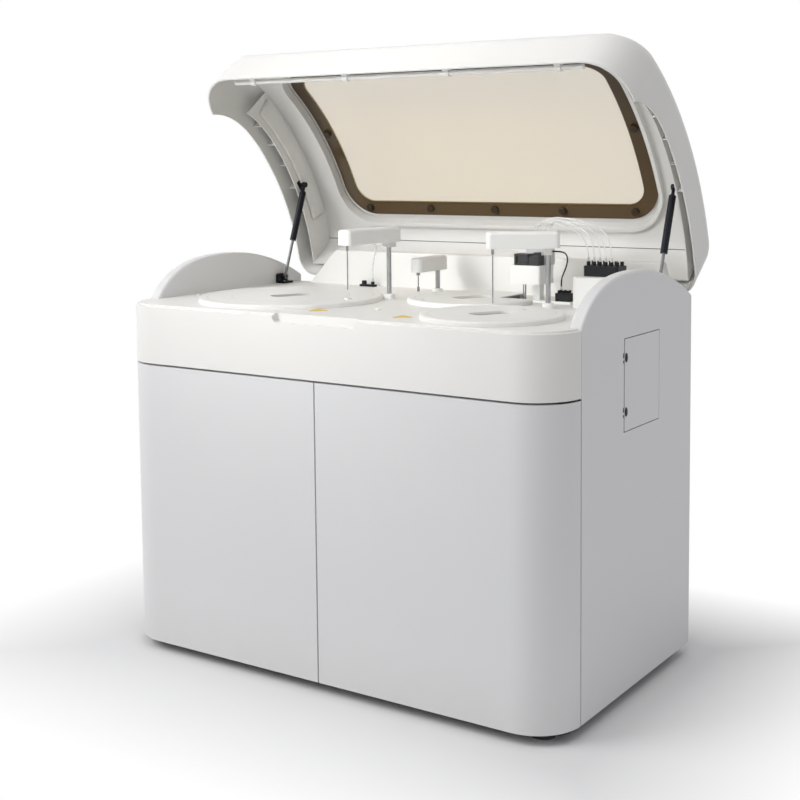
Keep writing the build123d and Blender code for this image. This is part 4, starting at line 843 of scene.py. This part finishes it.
def hang_lamp(name, place, target, power, width, spread):
    """A round soft lamp that shines from its place at its target."""
    lamp = bpy.data.lights.new(name, "AREA")
    lamp.energy = power
    lamp.shape = "DISK"
    lamp.size = width
    lamp.spread = math.radians(spread)
    obj = link(bpy.data.objects.new(name, lamp))
    obj.location = place
    aim = Vector(target) - Vector(place)
    obj.rotation_euler = aim.to_track_quat("-Z", "Y").to_euler()


def light_room(strength):
    """Even light all round, and a white background for the rays that see it."""
    world = bpy.data.worlds.new("room")
    world.use_nodes = True
    bpy.context.scene.world = world
    tree = world.node_tree
    tree.nodes.clear()
    shaders = []
    for colour, power in ((ROOM_COLOUR, strength), (WHITE, 1.0)):
        light = tree.nodes.new("ShaderNodeBackground")
        light.inputs["Color"].default_value = colour
        light.inputs["Strength"].default_value = power
        shaders.append(light)
    mix_shaders(tree, seen_rays(tree), *shaders, tree.nodes.new("ShaderNodeOutputWorld"))


def place_camera(lens):
    """Sets the camera before the analyzer's right-hand front corner."""
    forward = Vector((math.sin(CAMERA_YAW) * math.cos(CAMERA_PITCH),
                      math.cos(CAMERA_YAW) * math.cos(CAMERA_PITCH), -math.sin(CAMERA_PITCH)))
    level = Vector((math.cos(CAMERA_YAW), -math.sin(CAMERA_YAW), 0.0))
    up = level.cross(forward)
    right = level * math.cos(CAMERA_ROLL) + up * math.sin(CAMERA_ROLL)
    top = up * math.cos(CAMERA_ROLL) - level * math.sin(CAMERA_ROLL)
    data = bpy.data.cameras.new("camera")
    data.sensor_width = 36.0
    data.lens = lens
    data.shift_x, data.shift_y = CAMERA_SHIFT
    data.clip_end = 60.0
    camera = link(bpy.data.objects.new("camera", data))
    turn = Matrix((right, top, -forward)).transposed()
    camera.matrix_world = Matrix.Translation(in_frame(CAMERA_PLACE)) @ turn.to_4x4()
    bpy.context.scene.camera = camera
    bpy.context.scene.view_settings.view_transform = "Standard"


@operator
class ANALYZER_OT_tubes(bpy.types.Operator):
    """Lays the clear lines, the sample arm's cable and the reagent arm's line"""

    bl_idname = "analyzer.tubes"
    bl_label = "Tubes and cable"

    def execute(self, context):
        sizes = context.scene.analyzer_tubes
        clear = soft_tube("clear line")
        for index in range(WASH_TUBES):
            route = wash_route(index)
            lay_cord(f"clear_line_{index + 1}", f"wash_tube_{index + 1}", route,
                     sizes.tube_diameter, clear, route[1], route[6])
        lay_cord("arm_lead", "arm_cable", CABLE_ROUTE, sizes.cable_diameter,
                 black_moulding("lead jacket", (0.012, 0.012, 0.013), 0.5),
                 CABLE_ROUTE[1], CABLE_ROUTE[6])
        lay_cord("reagent_feed", "reagent_line", LINE_ROUTE, sizes.tube_diameter, clear,
                 LINE_ROUTE[8], LINE_ROUTE[1])
        return {"FINISHED"}


# where a node's first finish ends and its second one starts
FOOT_PAD_TOP = 0.0135
PUMPS_END_X = 0.25
BOTTLE_CAP_FOOT = 0.8565
MOTOR_END_Y = FRONT_Y + 0.5275


@operator
class ANALYZER_OT_cabinet(bpy.types.Operator):
    """Finishes of the cabinet: panels, frame, tanks, pumps, fan and mains inlet"""

    bl_idname = "analyzer.cabinet"
    bl_label = "Cabinet"

    def execute(self, context):
        colours = context.scene.analyzer_colours
        coat = powder_coat("panel coat", colours.paint)
        for node in ("door_left", "door_right", "side_panel_left", "side_panel_right",
                     "service_door"):
            dress(node, coat)
        dress("rear_sheet", powder_coat("rear sheet coat", (0.66, 0.67, 0.68), roughness=0.5))
        dress("frame_rails", powder_coat("frame coat", (0.22, 0.23, 0.24), roughness=0.5))
        dress("cabinet_plates", zinc_plate("zinc sheet"))
        dress("levelling_feet", two_finishes(
            "foot", (0.025, 0.025, 0.026), (0.55, 0.56, 0.58),
            "Z", FOOT_PAD_TOP, rough=(0.6, 0.28), metal=(0.0, 1.0)))
        dress("tanks", tank_wall("tank wall"))
        dress("cabinet_modules", two_finishes(
            "pumps and supply", (0.035, 0.036, 0.038), (0.50, 0.51, 0.53),
            "X", PUMPS_END_X, rough=(0.45, 0.32), metal=(0.0, 1.0)))
        black = black_moulding("black moulding")
        for node in ("fan_housing", "fan_rotor", "power_inlet", "power_rocker"):
            dress(node, black)
        fascia = moulded("fascia moulding", colours.moulding)
        dress("front_fascia", fascia)
        dress("deck", fascia)
        dress("rear_wall", moulded("rear wall moulding", colours.moulding, roughness=0.5))
        dress("hinge_blocks", black_enamel("hinge enamel"))
        return {"FINISHED"}


# the joint between the liner's panels: its height, its reach and its half width
SEAM_HEIGHT = 1.047
SEAM_DEPTH = 0.60
SEAM_ASIDE = 0.588
SEAM_HALF = 0.0011


def liner_finish(name, colour):
    """Moulded liner with the dark joint between its rear and upper panels."""
    f = Finish(name)
    y, z = f.axis("Y"), f.axis("Z")
    gap = closed_height(y, z) - SEAM_HEIGHT
    line = f.spread(gap.absolute(), (SEAM_HALF * 0.6, SEAM_HALF), (1.0, 0.0))
    line = line * closed_depth(y, z).above(SEAM_DEPTH) * f.axis("X").absolute().below(SEAM_ASIDE)
    cloud = f.noise(3.1, detail=3.0)
    fine = f.noise(900.0, roughness=0.7)
    shade = f.shades(cloud, colour, 0.955, 0.99)
    f.set(Base_Color=f.blend(line, shade, rgba((0.10, 0.095, 0.085))), Roughness=cloud * 0.08 + 0.46,
          Normal=f.bump(fine * 0.12 - line, strength=0.5, distance=0.0008))
    return f.material


# the shell's window opening, in the closed lid's width and depth
WINDOW_HALF = 0.458
WINDOW_MIDDLE = 0.355
WINDOW_REACH = 0.227
WINDOW_CORNER = 0.055


def window_distance(f):
    """Distance outside the shell's window opening, as the pane's material sees it."""
    across = f.axis("X").absolute() - (WINDOW_HALF - WINDOW_CORNER)
    depth = closed_depth(f.axis("Y"), f.axis("Z")) - WINDOW_MIDDLE
    along = depth.absolute() - (WINDOW_REACH - WINDOW_CORNER)
    out_x = across.larger(0.0)
    out_y = along.larger(0.0)
    outside = (out_x * out_x + out_y * out_y).root()
    return outside + across.larger(along).smaller(0.0) - WINDOW_CORNER


# distances outside the opening over which the pane turns into its band, and of the band's dark line,
# which is a painted shadow of the opening's edge
BAND_START = (-0.0025, -0.0005)
BAND_SHADOW_LINE = -0.001
BAND_SHADOW_LINE_HALF = (0.0008, 0.0022)
# heights between which the band darkens upward, as painted shade
BAND_SHADE_HEIGHTS = (1.05, 1.42)
PANE_ALPHA = 0.28
BAND_ALPHA = 0.98


def pane_finish(name, tint, rim):
    """Smoked acrylic in the opening, and a nearly opaque brown band where it lies on the shell: the
    pane's brown tint, darkened with painted shade of the shell behind it.
    """
    f = Finish(name)
    distance = window_distance(f)
    band = f.spread(distance, BAND_START, (0.0, 1.0))
    # a dark line along the opening's edge, as painted shadow
    edge = f.spread((distance - BAND_SHADOW_LINE).absolute(), BAND_SHADOW_LINE_HALF, (1.0, 0.0))
    wipe = f.noise(6.0, detail=4.0, roughness=0.6, at=f.stretched((0.5, 3.0, 3.0)))
    # the band is painted lighter low down and darker high up, as painted shade
    height = f.spread(f.axis("Z"), BAND_SHADE_HEIGHTS, (0.0, 1.0))
    brown = f.blend(height, rgba(rim, 1.25), rgba(rim, 0.70))
    brown = f.blend(edge, brown, rgba(rim, 0.25))
    f.set(Base_Color=f.blend(band, f.shades(wipe, tint, 0.96, 1.04), brown),
          Alpha=band * (BAND_ALPHA - PANE_ALPHA) + PANE_ALPHA,
          Roughness=f.spread(wipe, NOISE_RANGE, (0.12, 0.22)), IOR=1.49,
          Specular_IOR_Level=0.30, Coat_Weight=0.08, Coat_Roughness=0.08)
    return f.material


# the front rail lies before this depth of the closed lid, and the studs lie beyond this width
RAIL_END = 0.10
STUD_ASIDE = 0.55


def fittings_finish(name, white):
    """White rail and clips, steel hinge leaves and black studs in one material."""
    f = Finish(name)
    back = closed_depth(f.axis("Y"), f.axis("Z")).above(RAIL_END)
    aside = f.axis("X").absolute().above(STUD_ASIDE)
    tone = f.noise(30.0, detail=3.0)
    streak = f.noise(700.0, roughness=0.6)
    steel = f.blend(tone, rgba((0.50, 0.505, 0.51)), rgba((0.60, 0.605, 0.61)))
    black = f.blend(tone, rgba((0.009, 0.009, 0.011)), rgba((0.016, 0.016, 0.019)))
    plastic = f.shades(tone, white, 0.98, 1.02)
    hidden = f.blend(aside, steel, black)
    f.set(Base_Color=f.blend(back, plastic, hidden), Metallic=back * (1.0 - aside),
          Roughness=f.spread(tone, NOISE_RANGE, (0.30, 0.38)),
          Normal=f.bump(streak, strength=0.05, distance=0.0002))
    return f.material


@operator
class ANALYZER_OT_lid(bpy.types.Operator):
    """Finishes of the lid: shell, liner, smoked window, knobs, rail, hinges and gas springs"""

    bl_idname = "analyzer.lid"
    bl_label = "Lid"

    def execute(self, context):
        colours = context.scene.analyzer_colours
        # the lid's moulding is the fascia's colour dimmed, as painted shade
        dress("lid_shell", moulded("lid moulding", dimmed(colours.moulding, 0.91), roughness=0.40))
        dress("lid_liner", liner_finish("liner moulding", colours.moulding))
        dress("lid_window", pane_finish("smoked pane", colours.window, colours.window_band_tint_and_shade))
        dress("window_knobs", black_moulding("knob moulding", (0.050, 0.036, 0.022), roughness=0.22))
        dress("lid_fittings", fittings_finish("lid fittings", colours.cover))
        dress("strut_rods", bright_steel("spring rod", UPRIGHT, 0.30, (0.17, 0.17, 0.175)))
        dress("strut_cylinders", black_enamel("spring enamel"))
        return {"FINISHED"}


# radii of each cover's grooves, the half widths between which a groove fades out, and the
# radius and depth of the handgrip that is sunk into a cover's middle, whose floor gets painted shade
GROOVES = {
    "reagent_cover": (0.150, 0.212),
    "sample_cover": (0.144,),
    "reaction_cover": (0.143,),
}
GROOVE_HALF = (0.0006, 0.0018)
GRIP_RADIUS = 0.09
GRIP_DEPTH = 0.0045


def cover_finish(name, colour, node):
    """Moulded cover with fine turned grooves round its middle, darkened as painted shade in them, and
    painted shade on the floor of its sunk handgrip.
    """
    low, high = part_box(node)
    middle = (low + high) / 2
    f = Finish(name)
    x = f.axis("X") - middle.x
    y = f.axis("Y") - middle.y
    radius = (x * x + y * y).root()
    dents = [f.spread((radius - groove).absolute(), GROOVE_HALF, (1.0, 0.0)) for groove in GROOVES[node]]
    line = dents[0]
    for dent in dents[1:]:
        line = line.larger(dent)
    cloud = f.noise(4.0, detail=3.0)
    fine = f.noise(900.0, roughness=0.7)
    # painted shade on the floor of the sunk handgrip, below the cover's top
    grip_floor_shade = radius.below(GRIP_RADIUS) * f.axis("Z").below(high.z - GRIP_DEPTH)
    shade = f.blend(grip_floor_shade, f.shades(cloud, colour, 0.975, 1.015), rgba(colour, 0.70))
    # the grooves are darkened as painted shade
    f.set(Base_Color=f.blend(line * 0.35, shade, rgba(colour, 0.62)),
          Roughness=f.spread(cloud, NOISE_RANGE, (0.36, 0.44)),
          Normal=f.bump(fine * 0.15 - line, strength=0.5, distance=0.0008))
    return f.material


@operator
class ANALYZER_OT_deck(bpy.types.Operator):
    """Finishes of the carousels, covers, pots and drives"""

    bl_idname = "analyzer.deck"
    bl_label = "Deck and carousels"

    def execute(self, context):
        white = context.scene.analyzer_colours.cover
        for node in GROOVES:
            dress(node, cover_finish(node + " moulding", white, node))
        dress("deck_pots", moulded("pot moulding", (0.70, 0.71, 0.72), roughness=0.42))
        dress("drive_units", black_enamel("drive enamel"))
        ring = bright_steel("anodised ring", ALL_WAYS, 0.34, (0.60, 0.61, 0.63))
        for node in ("reagent_carousel", "sample_carousel", "reaction_carousel"):
            dress(node, ring)
        dress("reagent_bottles", two_finishes(
            "reagent bottle", (0.74, 0.74, 0.71), (0.05, 0.11, 0.30),
            "Z", BOTTLE_CAP_FOOT, rough=(0.40, 0.34)))
        dress("sample_tubes", soft_tube("sample tube", (0.80, 0.86, 0.88), alpha=0.45))
        dress("deck_bosses", moulded("boss moulding", white, roughness=0.36))
        return {"FINISHED"}


# where each column's collar starts; the mixer has none, so its limit lies above its column
COLLAR_FOOT = {"reagent": 1.0192, "sample": 1.0135, "mixer": 2.0}


def collar_finish(name, collar_z, white):
    """Ground steel column whose collar, above collar_z, is white plastic."""
    f = Finish(name)
    upper = f.axis("Z").above(collar_z)
    streak = f.noise(900.0, detail=3.0, roughness=0.6, at=f.stretched(UPRIGHT))
    tone = f.noise(30.0, detail=3.0)
    steel = f.blend(tone, rgba((0.33, 0.335, 0.34)), rgba((0.42, 0.425, 0.43)))
    f.set(Base_Color=f.blend(upper, steel, rgba(white, 0.9)), Metallic=1.0 - upper,
          Roughness=f.spread(streak, NOISE_RANGE, (0.22, 0.30)) + upper * 0.2,
          Normal=f.bump(streak, strength=0.02, distance=0.0001))
    return f.material


@operator
class ANALYZER_OT_arms(bpy.types.Operator):
    """Finishes of the three pipetting arms, their columns and needles"""

    bl_idname = "analyzer.arms"
    bl_label = "Arms"

    def execute(self, context):
        white = context.scene.analyzer_colours.cover
        shell = moulded("arm moulding", white, roughness=0.34, grain=1100.0, depth=0.06)
        needle = bright_steel("needle steel", UPRIGHT, 0.22, (0.30, 0.305, 0.31))
        for name, collar_z in COLLAR_FOOT.items():
            dress(name + "_arm", shell)
            dress(name + "_column", collar_finish(name + " column", collar_z, white))
        for node in ("reagent_probe", "sample_probe", "mixer_paddle", "wash_pipes"):
            dress(node, needle)
        return {"FINISHED"}


@operator
class ANALYZER_OT_wash(bpy.types.Operator):
    """Finishes of the wash station, the plug strip and the tube tower"""

    bl_idname = "analyzer.wash"
    bl_label = "Wash station"

    def execute(self, context):
        white = context.scene.analyzer_colours.cover
        dress("wash_stand", moulded("stand moulding", white, roughness=0.38))
        dress("wash_head", moulded("wash head moulding", white, roughness=0.34))
        dress("wash_fittings", two_finishes(
            "wash fittings", (0.016, 0.016, 0.018), (0.62, 0.62, 0.61),
            "Y", MOTOR_END_Y, rough=(0.36, 0.42)))
        dress("deck_connectors", black_moulding("plug moulding"))
        dress("tube_tower", moulded("tower moulding", white, roughness=0.40))
        dress("tube_manifold",
              black_moulding("manifold moulding", (0.014, 0.015, 0.017), roughness=0.34))
        return {"FINISHED"}


# ---------------------------------------------------------------- made shapes
def swept(name, section, stations, material):
    """A section of (u, v) points carried along stations, each a function of (u, v)."""
    count = len(section)
    verts = [station(u, v) for station in stations for u, v in section]
    faces = []
    for i in range(len(stations) - 1):
        for j in range(count):
            a, b = i * count + j, i * count + (j + 1) % count
            faces.append((a, b, b + count, a + count))
    last = (len(stations) - 1) * count
    faces.append(tuple(range(count))[::-1])
    faces.append(tuple(last + j for j in range(count)))
    return mesh_piece(name, verts, faces, material)


def rounded_section(width, height, radius, steps=4):
    """A rectangle on the v = 0 line whose two upper corners are round, as (u, v) points."""
    points = [(-width / 2, 0.0)]
    for side, start in ((-1, math.pi), (1, math.pi / 2)):
        for i in range(steps + 1):
            angle = start - i * math.pi / 2 / steps
            points.append((side * (width / 2 - radius) + radius * math.cos(angle),
                           height - radius + radius * math.sin(angle)))
    points.append((width / 2, 0.0))
    return points


# the liner's side walls stand this far from the middle
SIDE_FACE = 0.590
# a channel's section, and how far below the roof its middle runs
CHANNEL_WIDTH = 0.052
CHANNEL_HEIGHT = 0.009
CHANNEL_CORNER = 0.004
CHANNEL_DROP = 0.058
# the depths of the closed lid at which a channel starts, on each side, and ends
CHANNEL_START = {-1: 0.178, 1: 0.230}
CHANNEL_END = 0.61
CHANNEL_STEPS = 40


def channel_station(side, depth):
    """Place of a light channel's section on the liner's side wall, at a depth of the closed lid."""
    def at(u, v):
        roof_depth, roof_z = roof_place(depth, CHANNEL_DROP + u)
        return opened(side * (SIDE_FACE - v), roof_depth, roof_z)
    return at


@operator
class ANALYZER_OT_channels(bpy.types.Operator):
    """Light channels along the lid's inner wings"""

    bl_idname = "analyzer.channels"
    bl_label = "Light channels"

    def execute(self, context):
        colours = context.scene.analyzer_colours
        coat = moulded("channel moulding", dimmed(colours.moulding, 0.95), roughness=0.38)
        section = rounded_section(CHANNEL_WIDTH, CHANNEL_HEIGHT, CHANNEL_CORNER)
        for side, word in ((-1, "left"), (1, "right")):
            start = CHANNEL_START[side]
            stations = [channel_station(side, start + (CHANNEL_END - start) * i / CHANNEL_STEPS)
                        for i in range(CHANNEL_STEPS + 1)]
            channel = swept(f"light_channel_{word}", section, stations, coat)
            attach(channel, "lid")
        return {"FINISHED"}


RIB_THICKNESS = 0.0026
RIB_HEIGHT = 0.030
# how far a rib stands up from the liner's edge and off its wall
RIB_RECESS = 0.004
RIB_GAP = 0.0003
# the inner face of the shell's wings, where the ribs end
WING_INNER = 0.6205
# depths of the closed lid of the first and the last rib
RIB_FRONT = 0.235
RIB_BACK = 0.470
# the liner's edge is looked for this far before and behind a rib
EDGE_REACH = 0.025


def liner_edge(side, depth):
    """Height of the liner's lower edge on one wing, at a depth of the closed lid."""
    liner = NODES["lid_liner"]
    places = [liner.matrix_world @ v.co for v in liner.data.vertices if v.co.x * side > SIDE_FACE]
    return min(closed_height(y, z) for _, y, z in places
               if abs(closed_depth(y, z) - depth) < EDGE_REACH)


@operator
class ANALYZER_OT_ribs(bpy.types.Operator):
    """Stiffening ribs between the lid's wings and its liner"""

    bl_idname = "analyzer.ribs"
    bl_label = "Lid ribs"

    def execute(self, context):
        scene = context.scene
        count = scene.analyzer_fasteners.rib_count
        coat = moulded("rib moulding", scene.analyzer_colours.moulding, roughness=0.42)
        liner_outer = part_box("lid_liner")[1].x + RIB_GAP
        width = WING_INNER - liner_outer
        ribs = block_tree("ribs", coat, width, RIB_THICKNESS, RIB_HEIGHT)
        upright = Vector((0, LID_SIN, LID_COS))
        places = []
        for side in (-1, 1):
            for i in range(count):
                depth = RIB_FRONT + (RIB_BACK - RIB_FRONT) * i / (count - 1)
                z = liner_edge(side, depth) + RIB_RECESS + RIB_HEIGHT / 2
                places.append(opened(side * (liner_outer + width / 2), depth, z))
        made = grown("lid_ribs", ribs, places, [upright] * len(places), "lid")
        return {"FINISHED"}


# a ferrule's height, and how far it stands out round its tube
SLEEVE_HEIGHT = 0.010
SLEEVE_WALL = 0.0008


@operator
class ANALYZER_OT_sleeves(bpy.types.Operator):
    """Ferrules where the tubes and the cable leave their fittings"""

    bl_idname = "analyzer.sleeves"
    bl_label = "Ferrules"

    def execute(self, context):
        sizes = context.scene.analyzer_tubes
        grey = moulded("ferrule moulding", (0.60, 0.61, 0.60), roughness=0.40)
        tree = sleeve_tree(grey, sizes.tube_diameter / 2 + SLEEVE_WALL, SLEEVE_HEIGHT)
        routes = [wash_route(index) for index in range(WASH_TUBES)]
        moving = [route[0] for route in routes]
        fixed = [route[-1] for route in routes] + [LINE_ROUTE[0], CABLE_ROUTE[-1]]
        lift = Vector((0, 0, SLEEVE_HEIGHT / 2))
        for name, places, body in (("motor_ferrules", moving, "wash_lift"),
                                   ("tower_ferrules", fixed, "cabinet")):
            raised = [Vector(in_frame(place)) + lift for place in places]
            made = grown(name, tree, raised, [(0, 0, 1)] * len(raised), body)
        return {"FINISHED"}


# an oval cap's half length, the share of it that is its half width, and its thickness
CAP_HALF = 0.0105
CAP_SHARE = 0.56
CAP_THICK = 0.0026
CAP_HEIGHTS = (0.673, 0.796)
# a cap stands this far behind the door's front edge and off its face
CAP_SETBACK = 0.0095
CAP_GAP = 0.0001


@operator
class ANALYZER_OT_caps(bpy.types.Operator):
    """Dark oval caps on the service door's hinges"""

    bl_idname = "analyzer.caps"
    bl_label = "Hinge caps"

    def execute(self, context):
        low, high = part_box("service_door")
        dark = black_moulding("hinge cap", (0.030, 0.031, 0.034), roughness=0.36)
        y = low.y + CAP_SETBACK + CAP_HALF * CAP_SHARE
        places = [(high.x + CAP_GAP, y, z) for z in CAP_HEIGHTS]
        caps = grown("hinge_caps", cap_tree(dark, CAP_HALF, CAP_SHARE, CAP_THICK), places,
                     [(1, 0, 0)] * len(places), "side_service_door")
        return {"FINISHED"}


# each plate's middle, measured from the front face
YELLOW_PLATES = ((-0.065, 0.107), (0.180, 0.100))
PLATE_SIDE = 0.054
PLATE_THICK = 0.0005
PLATE_CORNER = 0.005
PLATE_TURN = 0.6
# points round each of a plate's corners
CORNER_POINTS = 5


@operator
class ANALYZER_OT_plates(bpy.types.Operator):
    """Two plain yellow plates on the deck"""

    bl_idname = "analyzer.plates"
    bl_label = "Plates"

    def execute(self, context):
        f = Finish("yellow plate")
        worn = f.noise(300.0, detail=3.0, roughness=0.6)
        f.set(Base_Color=f.blend(worn, rgba((0.72, 0.47, 0.03)), rgba((0.80, 0.55, 0.06))),
              Roughness=f.spread(worn, NOISE_RANGE, (0.32, 0.44)))
        for index, (x, y) in enumerate(YELLOW_PLATES):
            plate = thin_plate(f"deck_plate_{index + 1}", x, y + FRONT_Y, DECK_Z, f.material)
            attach(plate, "cabinet")
        return {"FINISHED"}


def thin_plate(name, x, y, z, material):
    """A thin triangular plate with round corners."""
    ring = []
    reach = PLATE_SIDE / math.sqrt(3) - 2 * PLATE_CORNER
    for i in range(3):
        middle = math.radians(90 + 120 * i)
        for j in range(CORNER_POINTS):
            angle = middle + math.radians(-60 + 120 * j / (CORNER_POINTS - 1))
            ring.append((reach * math.cos(middle) + PLATE_CORNER * math.cos(angle),
                         reach * math.sin(middle) + PLATE_CORNER * math.sin(angle)))
    c, s = math.cos(PLATE_TURN), math.sin(PLATE_TURN)
    verts = [(x + a * c - b * s, y + a * s + b * c, z + h) for h in (0.0, PLATE_THICK) for a, b in ring]
    count = len(ring)
    faces = [tuple(range(count))[::-1], tuple(range(count, 2 * count))]
    faces += [(i, (i + 1) % count, count + (i + 1) % count, count + i) for i in range(count)]
    return mesh_piece(name, verts, faces, material, smooth=False)


# the rear sheet's screws: how many along its upper and lower edges, how many between them on
# its sides, and how far they stand in from those edges
EDGE_SCREWS = 9
SIDE_SCREWS = 5
EDGE_INSET = 0.018
SIDE_INSET = 0.02
# the screws of the gas springs' feet, whose plates stand on the deck
FOOT_SCREW_X = 0.566
FOOT_SCREW_DEPTHS = (0.599, 0.627)
FOOT_PLATE = 0.006
FOOT_SCREW_RADIUS = 0.0030
FOOT_SCREW_HEIGHT = 0.0014
# the fan guard's rings, off the rear sheet
GUARD_SPACING = 0.0108
GUARD_WIRE = 0.0011
GUARD_STANDOFF = 0.0022


@operator
class ANALYZER_OT_fasteners(bpy.types.Operator):
    """Screws of the rear sheet and of the gas springs' feet, and the fan's wire guard"""

    bl_idname = "analyzer.fasteners"
    bl_label = "Fasteners"

    def execute(self, context):
        sizes = context.scene.analyzer_fasteners
        steel = bright_steel("screw steel", ALL_WAYS, roughness=0.30)
        screws = screw_tree(steel, sizes.screw_radius, sizes.screw_height)
        low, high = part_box("rear_sheet")
        back = high.y
        places = []
        for i in range(EDGE_SCREWS):
            x = low.x + SIDE_INSET + (high.x - low.x - 2 * SIDE_INSET) * i / (EDGE_SCREWS - 1)
            places += [(x, back, low.z + EDGE_INSET), (x, back, high.z - EDGE_INSET)]
        for i in range(1, SIDE_SCREWS + 1):
            z = low.z + (high.z - low.z) * i / (SIDE_SCREWS + 1)
            places += [(low.x + SIDE_INSET, back, z), (high.x - SIDE_INSET, back, z)]
        rear = grown("rear_screws", screws, places, [(0, 1, 0)] * len(places), "cabinet")
        small = screw_tree(steel, FOOT_SCREW_RADIUS, FOOT_SCREW_HEIGHT)
        places = [(side * FOOT_SCREW_X, FRONT_Y + depth, DECK_Z + FOOT_PLATE)
                  for side in (-1, 1) for depth in FOOT_SCREW_DEPTHS]
        feet = grown("spring_foot_screws", small, places, [(0, 0, 1)] * len(places), "cabinet")
        fan_low, fan_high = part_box("fan_housing")
        middle = (fan_low + fan_high) / 2
        wire = bright_steel("guard wire", ALL_WAYS, roughness=0.22)
        rings = ring_tree(wire, GUARD_SPACING, GUARD_WIRE, sizes.guard_rings)
        guard = grown("fan_guard", rings, [(middle.x, back + GUARD_STANDOFF, middle.z)],
                      [(0, 1, 0)], "cabinet")
        return {"FINISHED"}


class ANALYZER_PT_panel(bpy.types.Panel):
    """Lists the analyzer's steps and sizes"""

    bl_idname = "ANALYZER_PT_panel"
    bl_label = "Chemistry analyzer"
    bl_space_type = "VIEW_3D"
    bl_region_type = "UI"
    bl_category = "Analyzer"

    def draw(self, context):
        for cls in OPERATORS:
            self.layout.operator(cls.bl_idname)
        for group in (context.scene.analyzer_colours, context.scene.analyzer_tubes,
                      context.scene.analyzer_fasteners, context.scene.analyzer_stage):
            box = self.layout.box()
            for item in group.bl_rna.properties:
                if item.identifier not in ("rna_type", "name"):
                    box.prop(group, item.identifier)


GROUPS = {
    "analyzer_colours": AnalyzerColours,
    "analyzer_tubes": AnalyzerTubes,
    "analyzer_fasteners": AnalyzerFasteners,
    "analyzer_stage": AnalyzerStage,
}


def register():
    for name, group in GROUPS.items():
        bpy.utils.register_class(group)
        setattr(bpy.types.Scene, name, PointerProperty(type=group))
    for cls in (*OPERATORS, ANALYZER_PT_panel):
        bpy.utils.register_class(cls)


def unregister():
    for cls in (ANALYZER_PT_panel, *reversed(OPERATORS)):
        bpy.utils.unregister_class(cls)
    for name, group in GROUPS.items():
        delattr(bpy.types.Scene, name)
        bpy.utils.unregister_class(group)


def main():
    register()
    for cls in OPERATORS:
        family, step = cls.bl_idname.split(".")
        getattr(getattr(bpy.ops, family), step)()


if __name__ == "__main__":
    main()
